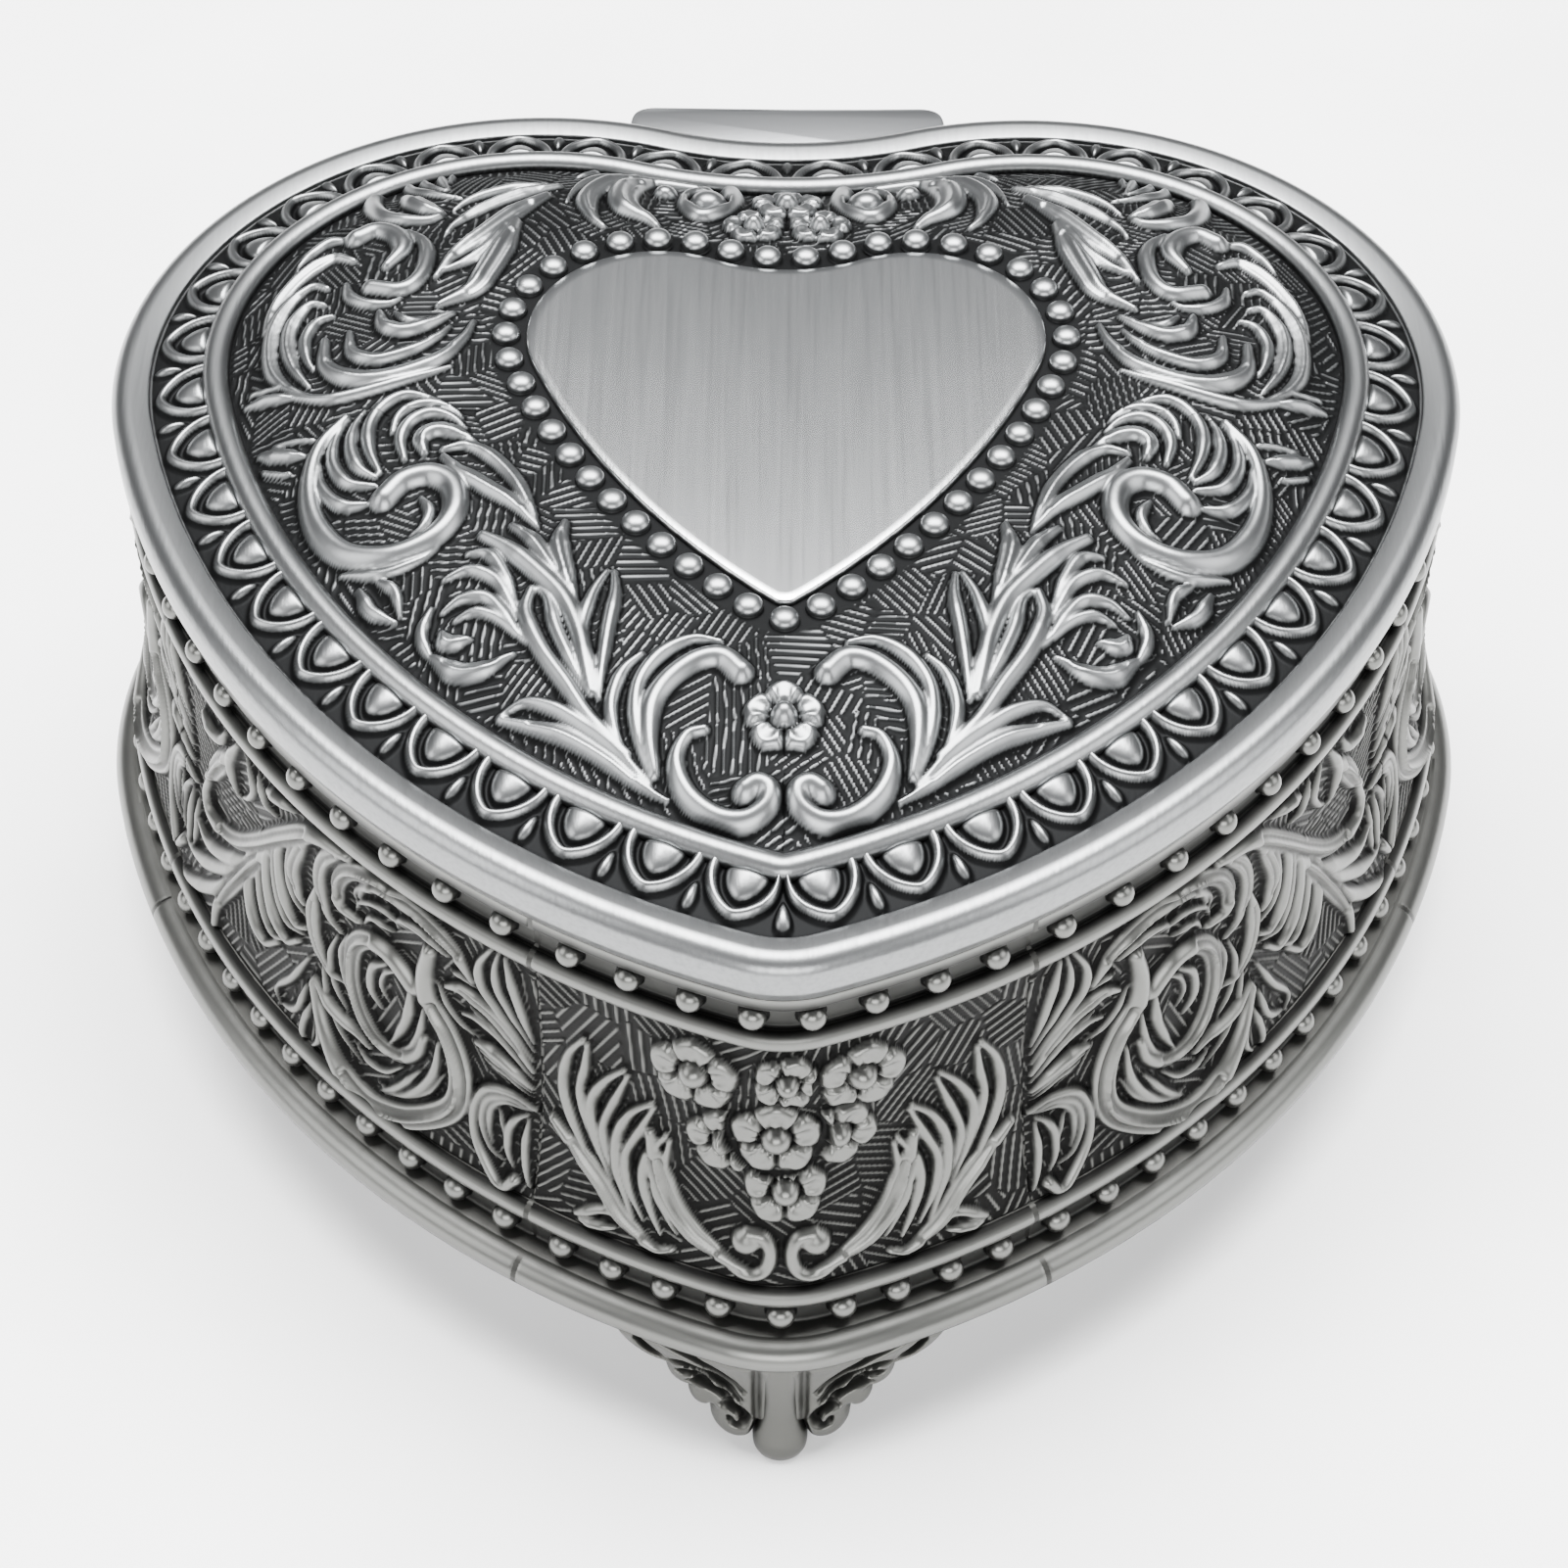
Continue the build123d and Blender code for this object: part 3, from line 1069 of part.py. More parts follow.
def lever_screw():
    y, z = lever_pivot()
    outer = LEVER_X + LEVER_T + SIDE_GAP
    shank = rod_x(y, z, GOVERNOR_X[1] - GOVERNOR_T, outer, PIVOT_R)
    return shank + rod_x(y, z, outer, outer + PIVOT_HEAD_H, SCREW_HEAD_R)


# ---- winding ----------------------------------------------------------------------------
def winding_arbor():
    low = KEY_TOP_Z - KEY_HUB_H + KEY_HUB_FLOOR
    shaft = rod(BARREL_X, TRAIN_Y, low, BARREL_TOP_Z + SIDE_GAP, ARBOR_R)
    return shaft + rod(BARREL_X, TRAIN_Y, BARREL_TOP_Z, BRIDGE_Z + BRIDGE_T, ARBOR_TOP_R)


def winding_key():
    """Butterfly key: two looped wings and a hub on the arbor's lower end."""
    handle_top = KEY_TOP_Z - KEY_HUB_H + KEY_HANDLE_RISE
    handle_h = handle_top - KEY_FLOOR_GAP
    middle = KEY_FLOOR_GAP + handle_h / 2
    wing_r = handle_h / 2
    centre_x = KEY_W / 2 - wing_r
    web_z = (middle - wing_r * KEY_WEB_SHARE, handle_top)
    plate = block((-centre_x, centre_x), (-KEY_T / 2, KEY_T / 2), web_z)
    for side in (-1, 1):
        plate = plate + rod_y(side * centre_x, middle, -KEY_T / 2, KEY_T / 2, wing_r)
        plate = plate - rod_y(side * centre_x, middle, -KEY_T / 2, KEY_T / 2, KEY_LOOP_R)
    hub = rod(0, 0, KEY_TOP_Z - KEY_HUB_H, KEY_TOP_Z, KEY_HUB_R)
    bore = rod(0, 0, KEY_TOP_Z - KEY_HUB_H + KEY_HUB_FLOOR, KEY_TOP_Z, ARBOR_R + PRESS_GAP)
    key = Rot(0, 0, KEY_REST_TURN) * (plate + hub) - bore
    return Pos(BARREL_X, TRAIN_Y, 0) * key


CASE_NODES = {
    "wall_front": wall_front,
    "wall_left": wall_left,
    "wall_right": wall_right,
    "base_plate": base_plate,
    "base_screws": base_screws,
    "foot_screws": foot_screws,
    "movement_screws": movement_screws,
    "foot_front": lambda: foot(OUTER.tip, -90),
    "foot_right": lambda: foot(OUTER.lobe, REAR_FOOT_ANGLE),
    "foot_left": lambda: mirror(foot(OUTER.lobe, REAR_FOOT_ANGLE), about=Plane.YZ),
    "hinge_block": hinge_block,
    "hinge_pin": hinge_pin,
    "hinge_rivets": hinge_rivets,
    "lid_shell": lid_shell,
    "lid_pad": lid_pad,
    "velvet_tray": velvet_tray,
    "partition": partition,
    "movement_cover": movement_cover,
    "wall_lining": wall_lining,
}
MOVEMENT_NODES = {
    "bedplate": bedplate,
    "comb": comb,
    "comb_screws": comb_screws,
    "drum": drum,
    "cylinder_arbor": cylinder_arbor,
    "cylinder_gear": cylinder_gear,
    "cylinder_bearing": cylinder_bearing,
    "spring_barrel": spring_barrel,
    "barrel_cap": barrel_cap,
    "mainspring": mainspring,
    "barrel_bridge": barrel_bridge,
    "governor_frame": governor_frame,
    "idler": idler,
    "worm": worm,
    "fan": fan,
    "stop_lever": stop_lever,
    "lever_screw": lever_screw,
    "winding_arbor": winding_arbor,
    "winding_key": winding_key,
}


def write(name, made, shift_y):
    place = Pos(0, shift_y, 0)
    if isinstance(made, list):
        shape = Compound(children=[place * piece for piece in made])
    else:
        shape = place * made
    export_step(shape, f"parts/{name}.step")


def main():
    os.makedirs("parts", exist_ok=True)
    for name, make in CASE_NODES.items():
        write(name, make(), Y_SHIFT)
    for name, make in MOVEMENT_NODES.items():
        write(name, make(), Y_SHIFT + MOVEMENT_Y)


main()
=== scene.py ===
"""Heart-shaped wind up music box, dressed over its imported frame.

The shapes are drawn in millimetres about the heart's own axis, then moved along Y to the footprint's
middle and scaled to metres.  s runs along the heart's outline from the tip, positive to the right;
o is the offset outward from that outline; inset is the distance inward from it.
"""

import cmath
import json
import math

import bpy
import numpy as np

from mathutils import Matrix, Vector


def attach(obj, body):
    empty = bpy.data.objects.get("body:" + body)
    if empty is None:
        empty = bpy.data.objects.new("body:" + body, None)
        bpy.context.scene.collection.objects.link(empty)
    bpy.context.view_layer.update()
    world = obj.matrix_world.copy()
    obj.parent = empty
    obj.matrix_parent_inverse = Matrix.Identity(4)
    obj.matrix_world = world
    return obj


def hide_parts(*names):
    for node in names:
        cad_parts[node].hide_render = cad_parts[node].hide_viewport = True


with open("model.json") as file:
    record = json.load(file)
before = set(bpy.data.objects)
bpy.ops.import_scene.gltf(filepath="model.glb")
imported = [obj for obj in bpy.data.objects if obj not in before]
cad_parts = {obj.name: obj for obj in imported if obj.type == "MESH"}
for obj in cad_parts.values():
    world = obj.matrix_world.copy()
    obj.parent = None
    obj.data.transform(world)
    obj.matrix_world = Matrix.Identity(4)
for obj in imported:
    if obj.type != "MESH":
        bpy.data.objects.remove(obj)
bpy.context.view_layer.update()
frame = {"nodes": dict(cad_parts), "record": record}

MM = 0.001
Y_SHIFT = -2.25
LID_Z = 45.45  # the lid's underside
FAR_OFF = 1e9


# ---- heart outlines ---------------------------------------------------------------------
class Heart:
    """Heart of four tangent arcs a side, each (centre x, centre y, radius, start, end, outward)."""

    def __init__(self, cleft_r, lobe_x, lobe_y, lobe_r, side_r, tip_r, tip_y):
        lobe = (lobe_x, lobe_y)
        cleft = (0.0, lobe_y + math.sqrt((cleft_r + lobe_r) ** 2 - lobe_x**2))
        tip = (0.0, tip_y + tip_r)
        gap = math.dist(lobe, tip)
        dx = (tip[0] - lobe[0]) / gap
        dy = (tip[1] - lobe[1]) / gap
        along = ((side_r - lobe_r) ** 2 - (side_r - tip_r) ** 2 + gap**2) / (2 * gap)
        across = math.sqrt((side_r - lobe_r) ** 2 - along**2)
        side = (lobe[0] + along * dx + across * dy, lobe[1] + along * dy - across * dx)
        at_tip = math.atan2(tip[1] - side[1], tip[0] - side[0])
        at_lobe = math.atan2(lobe[1] - side[1], lobe[0] - side[0])
        at_cleft = math.atan2(lobe[1] - cleft[1], lobe[0] - cleft[0])
        self.arcs = (
            (*tip, tip_r, -math.pi / 2, at_tip, 1),
            (*side, side_r, at_tip, at_lobe, 1),
            (*lobe, lobe_r, at_lobe, at_cleft + math.pi, 1),
            (*cleft, cleft_r, at_cleft, -math.pi / 2, -1),
        )
        self.lengths = [r * abs(b - a) for _, _, r, a, b, _ in self.arcs]
        self.half = sum(self.lengths)

    def place(self, s, o):
        """Plan places at lengths s and offsets o."""
        s, o = np.broadcast_arrays(np.asarray(s, float), np.asarray(o, float))
        reach = np.abs(s)
        x = np.zeros(s.shape)
        y = np.zeros(s.shape)
        begin = 0.0
        for (cx, cy, radius, first, last, outward), length in zip(self.arcs, self.lengths):
            here = (reach >= begin - 1e-9) & (reach <= begin + length + 1e-6)
            turn = first + (last - first) * (reach - begin) / length
            at = radius + outward * o
            x = np.where(here, cx + at * np.cos(turn), x)
            y = np.where(here, cy + at * np.sin(turn), y)
            begin += length
        return np.where(s < 0, -x, x), y

    def stretch(self, s, o):
        """How much longer the outline is at offset o than at the outline itself."""
        reach = np.abs(s)
        share = np.ones(np.shape(s))
        begin = 0.0
        for (_, _, radius, _, _, outward), length in zip(self.arcs, self.lengths):
            here = (reach >= begin) & (reach <= begin + length + 1e-6)
            share = np.where(here, (radius + outward * o) / radius, share)
            begin += length
        return share

    def around(self, count):
        """Lengths round the whole outline, count of them on each side."""
        left = np.linspace(-self.half, 0, count + 1)[:-1]
        return np.concatenate([left, np.linspace(0, self.half, count + 1)[:-1]])

    def measured(self, o):
        """Lengths from the tip to the cleft, and how far along the line at offset o each lies."""
        middle = np.linspace(0, self.half, 4001)
        run = np.concatenate([[0], np.cumsum(self.stretch(middle, o)[1:] * np.diff(middle))])
        return middle, run

    def inset(self, x, y):
        """Signed distance inward from the outline."""
        x = np.abs(x)
        best = np.full(np.shape(x), FAR_OFF)
        for cx, cy, radius, first, last, outward in self.arcs:
            gap = np.hypot(x - cx, y - cy)
            turn = np.arctan2(y - cy, x - cx)
            inside = (turn >= min(first, last)) & (turn <= max(first, last))
            value = np.where(inside, outward * (radius - gap), FAR_OFF)
            best = np.where(np.abs(value) < np.abs(best), value, best)
        return np.where(best > 1e8, -1e3, best)


OUTER = Heart(29.0, 19.0, 16.5, 31.0, 71.0, 9.0, -42.3)
PLATE = Heart(13.0, 9.5, 14.2, 9.5, 60.0, 1.2, -14.0)


# ---- small numeric helpers --------------------------------------------------------------
def smooth_step(low, high, value):
    """Eases from 0 at low to 1 at high."""
    t = np.clip((value - low) / (high - low), 0, 1)
    return t * t * (3 - 2 * t)


def blurred(field, sigma):
    """Gaussian blur of a 2-D array, sigma in cells; the edge values run on outward."""
    reach = max(1, int(3 * sigma))
    weights = np.exp(-0.5 * (np.arange(-reach, reach + 1) / sigma) ** 2)
    weights /= weights.sum()
    for axis in (0, 1):
        pads = [(0, 0), (0, 0)]
        pads[axis] = (reach, reach)
        wide = np.pad(field, pads, mode="edge")
        total = np.zeros(field.shape)
        for k, weight in enumerate(weights):
            total += weight * np.take(wide, np.arange(k, k + field.shape[axis]), axis=axis)
        field = total
    return field


def through(knots, at):
    """Smooth monotone curve through (x, y) knots."""
    xs, ys = np.array(knots, float).T
    steps = np.diff(ys) / np.diff(xs)
    slopes = np.zeros(len(xs))
    both = steps[:-1] * steps[1:]
    mean = np.where(both > 0, 2 * both / np.where(both > 0, steps[:-1] + steps[1:], 1), 0)
    slopes[1:-1] = mean
    slopes[0] = steps[0]
    at = np.clip(at, xs[0], xs[-1])
    k = np.clip(np.searchsorted(xs, at) - 1, 0, len(xs) - 2)
    width = xs[k + 1] - xs[k]
    t = (at - xs[k]) / width
    return (
        (1 + 2 * t) * (1 - t) ** 2 * ys[k]
        + t * (1 - t) ** 2 * width * slopes[k]
        + t * t * (3 - 2 * t) * ys[k + 1]
        + t * t * (t - 1) * width * slopes[k + 1]
    )


def spline(points, step):
    """Even samples on a smooth curve through the points."""
    p = np.array(points, float)
    p = np.vstack([2 * p[0] - p[1], p, 2 * p[-1] - p[-2]])
    runs = []
    for a, b, c, d in zip(p[:-3], p[1:-2], p[2:-1], p[3:]):
        t = np.linspace(0, 1, 14, endpoint=False)[:, None]
        runs.append(
            0.5 * (2 * b + (c - a) * t + (2 * a - 5 * b + 4 * c - d) * t**2 + (3 * b - a - 3 * c + d) * t**3)
        )
    path = np.vstack(runs + [p[-2:-1]])
    length = np.concatenate([[0], np.cumsum(np.hypot(*np.diff(path, axis=0).T))])
    at = np.linspace(0, length[-1], max(3, int(length[-1] / step) + 1))
    return np.column_stack([np.interp(at, length, path[:, 0]), np.interp(at, length, path[:, 1])])


# ---- relief -----------------------------------------------------------------------------
TAPERS = {
    "leaf": ((0, 0.45), (0.3, 1.0), (0.65, 0.9), (1, 0.3)),
    "stem": ((0, 0.6), (0.2, 1.0), (0.8, 0.85), (1, 0.5)),
    "hook": ((0, 0.5), (0.35, 0.95), (0.8, 1.0), (1, 1.05)),
    "even": ((0, 0.85), (0.5, 1.0), (1, 0.85)),
}
STROKE_GAIN = 1.1  # strokes are drawn this much wider than listed
# widths from which a leaf on the lid or a stroke on the walls gets a vein, and from which it gets two
LID_VEIN = 0.7
WALL_VEIN = 0.78
TWO_VEINS = 0.85
MOAT_FLOOR = 0.12


class Relief:
    """Height field over u and v, in mm, made of rounded strokes."""

    def __init__(self, u_range, v_range, pitch, veined=False):
        self.veined = veined
        self.u = np.linspace(*u_range, int(round((u_range[1] - u_range[0]) / pitch)) + 1)
        self.v = np.linspace(*v_range, int(round((v_range[1] - v_range[0]) / pitch)) + 1)
        self.pitch = pitch
        self.height = np.zeros((len(self.u), len(self.v)))
        self.vein = np.zeros((len(self.u), len(self.v)))

    def dot(self, x, y, radius, height, power=0.7, moat=0.0, field=None):
        """Round bump in a field, the heights unless another is given; a moat first lowers a ring round it."""
        pitch = self.pitch
        reach = radius + moat
        i0 = max(0, int((x - reach - self.u[0]) / pitch))
        i1 = min(len(self.u), int((x + reach - self.u[0]) / pitch) + 2)
        j0 = max(0, int((y - reach - self.v[0]) / pitch))
        j1 = min(len(self.v), int((y + reach - self.v[0]) / pitch) + 2)
        if i0 >= i1 or j0 >= j1:
            return
        q = ((self.u[i0:i1, None] - x) ** 2 + (self.v[None, j0:j1] - y) ** 2) / radius**2
        patch = (self.height if field is None else field)[i0:i1, j0:j1]
        if moat:
            np.minimum(patch, MOAT_FLOOR, out=patch, where=q < (reach / radius) ** 2)
        np.maximum(patch, height * np.clip(1 - q, 0, 1) ** power, out=patch)

    def stroke(self, points, width, taper):
        """Tapered stroke through the points, with a vein or two where it is wide enough."""
        path = spline(points, self.pitch * 0.8)
        xs, ys = zip(*TAPERS[taper])
        widths = STROKE_GAIN * width * np.interp(np.linspace(0, 1, len(path)), xs, ys)
        for (x, y), w in zip(path, widths):
            self.dot(x, y, w, 0.36 + 0.8 * w, 0.75)
        if self.veined:
            places, depth = (-0.36, 0.36) if width >= TWO_VEINS else (0.0,), 0.45
        else:
            places, depth = (0.3,), 0.34
        if width >= (WALL_VEIN if self.veined else LID_VEIN) and (taper == "leaf" or self.veined):
            tangent = np.gradient(path, axis=0)
            tangent /= np.linalg.norm(tangent, axis=1)[:, None]
            across = widths[:, None] * np.stack([-tangent[:, 1], tangent[:, 0]], -1)
            for place in places:
                side = path + place * across
                for (x, y), w in list(zip(side, widths))[len(path) // 6 : -len(path) // 5]:
                    self.dot(x, y, 0.26 * w + 0.07, depth * w, 1.0, field=self.vein)

    def flower(self, x, y, radius, turn):
        """Five wide petals with a groove and fine cuts in each, round a button."""

        def beside(degrees, far):
            a = math.radians(degrees)
            return x + far * math.cos(a), y + far * math.sin(a)

        petals = [turn + 72 * k for k in range(5)]
        self.dot(x, y, radius * 0.95, 0.0, moat=radius * 0.1)
        self.dot(x, y, radius * 0.86, 0.6, 0.25)
        self.dot(x, y, radius, 0.0, moat=0.1, field=self.vein)
        for petal in petals:
            self.dot(*beside(petal, 0.62 * radius), 0.2 * radius, 0.22, 0.8, field=self.vein)
        for petal in petals:
            for lean in (-16, -8, 0, 8, 16):
                far = (0.64 - 0.004 * abs(lean)) * radius
                self.dot(*beside(petal + lean, far), 0.31 * radius, 1.0, 0.3)
        for petal in petals:
            for lean, far, depth in ((-36, 1.0, 0.6), (-12, 0.6, 0.3), (12, 0.6, 0.3)):
                self.cut(beside(petal + lean, 0.36 * radius), beside(petal + lean, far * radius), depth)
        self.dot(x, y, radius * 0.33, 1.5, 0.5, moat=radius * 0.03)

    def cut(self, start, end, depth):
        """Straight groove, fading toward its end."""
        count = max(2, int(math.dist(start, end) / self.pitch) + 1)
        hollow = np.zeros(self.height.shape)
        for t in np.linspace(0, 1, count):
            i = int(round((start[0] + (end[0] - start[0]) * t - self.u[0]) / self.pitch))
            j = int(round((start[1] + (end[1] - start[1]) * t - self.v[0]) / self.pitch))
            if 1 < i < len(self.u) - 2 and 1 < j < len(self.v) - 2:
                hollow[i - 1 : i + 2, j] = np.maximum(hollow[i - 1 : i + 2, j], depth * (1 - t) * 0.6)
                hollow[i, j - 1 : j + 2] = np.maximum(hollow[i, j - 1 : j + 2], depth * (1 - t))
        self.height -= np.minimum(hollow, self.height)

    def mirrored(self):
        """Repeats each half on the other side of u = 0."""
        for field in (self.height, self.vein):
            np.maximum(field, field[::-1], out=field)

    def finished(self, seed, hatch=0.15, clear=0.72):
        """Adds the hatched ground; returns heights and a darkness from 0 to 1: patina in the hollows and
        painted shade on the lower flanks.
        """
        cell, pitch, ground_dark = (4.6, 0.74, 0.42) if self.veined else (3.4, 0.6, 0.3)
        ground = hatched(self.u, self.v, seed, cell, pitch)
        carved = self.height - np.minimum(self.vein, 0.5 * self.height)
        relief = blurred(carved, 0.09 / self.pitch)
        bare = 1 - smooth_step(0.02, 0.16, relief)
        height = relief + hatch * ground * bare
        around = blurred(height, 0.45 / self.pitch)
        near = blurred(height, 0.2 / self.pitch)
        # Painted shade: a place lower on a stroke than clear is darker the lower it lies, so flanks read
        # shaded and crests lit; the two blurred differences add patina in the hollows.
        deep = 0.95 - 0.95 * smooth_step(0.0, clear, height) + 1.5 * (near - height) + 0.5 * (around - height)
        deep -= ground_dark * ground * bare
        return height, np.clip(deep, 0, 1)


def hatched(u, v, seed, cell, pitch):
    """Raised lines, 0 to 1, in cells of changing direction round scattered seeds."""
    rng = np.random.default_rng(seed)
    grid_u = np.arange(u[0] - cell, u[-1] + 2 * cell, cell)
    grid_v = np.arange(v[0] - cell, v[-1] + 2 * cell, cell)
    seed_u, seed_v = [a.ravel() for a in np.meshgrid(grid_u, grid_v)]
    count = seed_u.size
    seed_u = seed_u + rng.uniform(-0.42, 0.42, count) * cell
    seed_v = seed_v + rng.uniform(-0.42, 0.42, count) * cell
    turns = rng.integers(0, 6, count) * math.pi / 6 + rng.uniform(-0.2, 0.2, count)
    shifts = rng.uniform(0, 1, count)
    pitches = pitch * rng.uniform(0.85, 1.25, count)
    best = np.full((len(u), len(v)), FAR_OFF)
    second = np.full((len(u), len(v)), FAR_OFF)
    owner = np.zeros((len(u), len(v)), int)
    reach = 2.2 * cell
    for k, (su, sv) in enumerate(zip(seed_u, seed_v)):
        here = (
            slice(*np.searchsorted(u, (su - reach, su + reach))),
            slice(*np.searchsorted(v, (sv - reach, sv + reach))),
        )
        gap = np.hypot(u[here[0], None] - su, v[None, here[1]] - sv)
        closer = gap < best[here]
        second[here] = np.where(closer, best[here], np.minimum(second[here], gap))
        owner[here] = np.where(closer, k, owner[here])
        best[here] = np.minimum(best[here], gap)
    turn = turns[owner]
    wave = (u[:, None] * np.cos(turn) + v[None, :] * np.sin(turn)) / pitches[owner] + shifts[owner]
    ridge = smooth_step(0.1, 0.95, np.cos(2 * math.pi * wave))
    return ridge * smooth_step(0.0, 0.22, second - best)


# ---- meshes -----------------------------------------------------------------------------
def mesh_object(name, places, quads, polygons=(), deep=None, sharp=60.0):
    """Object of the given places, in mm about the heart's axis; deep goes from 0 on a crest to 1."""
    co = np.array(places, float).reshape(-1, 3)
    co[:, 1] += Y_SHIFT
    co *= MM
    quads = np.asarray(quads, dtype=np.int32).reshape(-1, 4)
    loops = np.concatenate([quads.ravel()] + [np.asarray(p, dtype=np.int32) for p in polygons])
    sizes = np.concatenate([np.full(len(quads), 4), [len(p) for p in polygons]]).astype(np.int32)
    starts = np.concatenate([[0], np.cumsum(sizes)[:-1]]).astype(np.int32)
    mesh = bpy.data.meshes.new(name)
    mesh.vertices.add(len(co))
    mesh.vertices.foreach_set("co", co.astype(np.float32).ravel())
    mesh.loops.add(len(loops))
    mesh.loops.foreach_set("vertex_index", loops)
    mesh.polygons.add(len(sizes))
    mesh.polygons.foreach_set("loop_start", starts)
    mesh.update(calc_edges=True)
    mesh.polygons.foreach_set("use_smooth", np.ones(len(sizes), dtype=bool))
    if deep is not None:
        mesh.attributes.new("deep", "FLOAT", "POINT")
        mesh.attributes["deep"].data.foreach_set("value", np.asarray(deep, np.float32).ravel())
    mesh.set_sharp_from_angle(angle=math.radians(sharp))
    obj = bpy.data.objects.new(name, mesh)
    bpy.context.scene.collection.objects.link(obj)
    return obj


def grid_quads(rows, columns, wrap_rows=False, base=0):
    """Quads of a rows by columns table of vertices, each row a closed ring."""
    i = np.arange(rows if wrap_rows else rows - 1)
    i, j = np.meshgrid(i, np.arange(columns), indexing="ij")
    k = (i + 1) % rows
    m = (j + 1) % columns
    corners = [i * columns + j, i * columns + m, k * columns + m, k * columns + j]
    return base + np.stack(corners, -1).reshape(-1, 4)


def level(x, y, z):
    """Places of plan coordinates at the height or heights z."""
    return np.stack([x, y, np.broadcast_to(z, np.shape(x))], -1)


def ring_stack(name, rings, deep=None, flipped=False, **more):
    """Solid of closed rings of places, one after another, closed at both ends."""
    places = np.array(rings)
    rows, columns = places.shape[:2]
    quads = grid_quads(rows, columns)
    first = np.arange(columns)
    last = first + (rows - 1) * columns
    if flipped:
        return mesh_object(name, places, quads[:, ::-1], [first, last[::-1]], deep, **more)
    return mesh_object(name, places, quads, [first[::-1], last], deep, **more)


def carried(section, count):
    """Offsets and heights of a section's (o, z) corners, the same at each of count lengths."""
    o, z = np.array(section, float).T
    return np.tile(o, (count, 1)), np.tile(z, (count, 1))


def swept(name, lengths, loop_o, loop_z, deep, **more):
    """Closed section of (o, z) columns carried along the outline; tables are lengths by section points."""
    x, y = OUTER.place(lengths[:, None], loop_o)
    return ring_stack(name, level(x, y, loop_z), np.broadcast_to(deep, x.shape), **more)


def skin(name, top, bottom, mask, deep, **more):
    """Closed plate between two tables of places, where all four corners of a cell are in the mask."""
    cells = mask[:-1, :-1] & mask[1:, :-1] & mask[:-1, 1:] & mask[1:, 1:]
    used = np.zeros(mask.shape, bool)
    for di in (0, 1):
        for dj in (0, 1):
            used[di : di + cells.shape[0], dj : dj + cells.shape[1]] |= cells
    count = used.sum()
    index = np.full(mask.shape, -1)
    index[used] = np.arange(count)
    ci, cj = np.nonzero(cells)
    a, b, c, d = index[ci, cj], index[ci + 1, cj], index[ci + 1, cj + 1], index[ci, cj + 1]
    quads = [np.stack([a, b, c, d], -1), np.stack([d, c, b, a], -1) + count]
    padded = np.pad(cells, 1)
    for di, dj, first, last in ((0, -1, a, b), (1, 0, b, c), (0, 1, c, d), (-1, 0, d, a)):
        edge = ~padded[ci + 1 + di, cj + 1 + dj]
        p, q = first[edge], last[edge]
        quads.append(np.stack([p, p + count, q + count, q], -1))
    dark = np.concatenate([deep[used], np.ones(count)])
    return mesh_object(name, np.vstack([top[used], bottom[used]]), np.vstack(quads), (), dark, **more)


def rounded(path, radius, steps=4):
    """Path of corners with each inner corner rounded."""
    out = [path[0]]
    for a, b, c in zip(path[:-2], path[1:-1], path[2:]):
        a, b, c = np.array(a, float), np.array(b, float), np.array(c, float)
        cut = min(radius, 0.45 * np.linalg.norm(a - b), 0.45 * np.linalg.norm(c - b))
        start = b + (a - b) / np.linalg.norm(a - b) * cut
        end = b + (c - b) / np.linalg.norm(c - b) * cut
        for t in np.linspace(0, 1, steps):
            out.append(tuple((1 - t) ** 2 * start + 2 * t * (1 - t) * b + t * t * end))
    out.append(path[-1])
    return out


def bow(start, middle, end, steps):
    """Points on the circle through three points, without the first."""
    a, b, c = (complex(*p) for p in (start, middle, end))
    w = (c - a) / (b - a)
    centre = (b - a) * (w - abs(w) ** 2) / (2j * w.imag) + a
    first, mid, last = (cmath.phase(p - centre) for p in (a, b, c))
    radius = abs(a - centre)
    sweep = (last - first) % (2 * math.pi)
    if (mid - first) % (2 * math.pi) > sweep:
        sweep -= 2 * math.pi
    turns = first + sweep * np.linspace(0, 1, steps + 1)[1:]
    return [(centre.real + radius * math.cos(t), centre.imag + radius * math.sin(t)) for t in turns]


def beads(name, places, aims, radius, rise):
    """Round beads, each with a small dark foot, at places (x, y, z) facing along aims."""
    profile = [(1.16, 0.0), (1.0, 0.1), (0.985, 0.3), (1.0, 0.45)]
    profile += [(math.cos(t), 0.45 + math.sin(t) * 0.82) for t in np.linspace(0.2, 1.45, 7)]
    profile = [(r * radius, h / 1.27 * rise) for r, h in profile]
    segments = 20
    rings = len(profile)
    turns = np.arange(segments)[:, None] * 2 * math.pi / segments
    aims = np.array(aims, float)
    aims /= np.linalg.norm(aims, axis=1)[:, None]
    helper = np.where(np.abs(aims[:, 2:3]) > 0.8, (1.0, 0.0, 0.0), (0.0, 0.0, 1.0))
    side = np.cross(helper, aims)
    side /= np.linalg.norm(side, axis=1)[:, None]
    other = np.cross(aims, side)
    verts = []
    quads = []
    tops = []
    dark = []
    for k, place in enumerate(places):
        base = k * (rings * segments + 1)
        spokes = np.cos(turns) * side[k] + np.sin(turns) * other[k]
        for r, h in profile:
            verts.append(place + aims[k] * h + r * spokes)
            dark += [0.85 * (1 - smooth_step(0.05, 0.45, h / rise))] * segments
        verts.append([place + aims[k] * rise])
        dark.append(0.0)
        quads.append(grid_quads(rings, segments, base=base))
        last = base + (rings - 1) * segments
        tops += [(last + j, last + (j + 1) % segments, last + segments) for j in range(segments)]
        tops.append([base + j for j in range(segments)][::-1])
    return mesh_object(name, np.vstack(verts), np.vstack(quads), tops, dark)


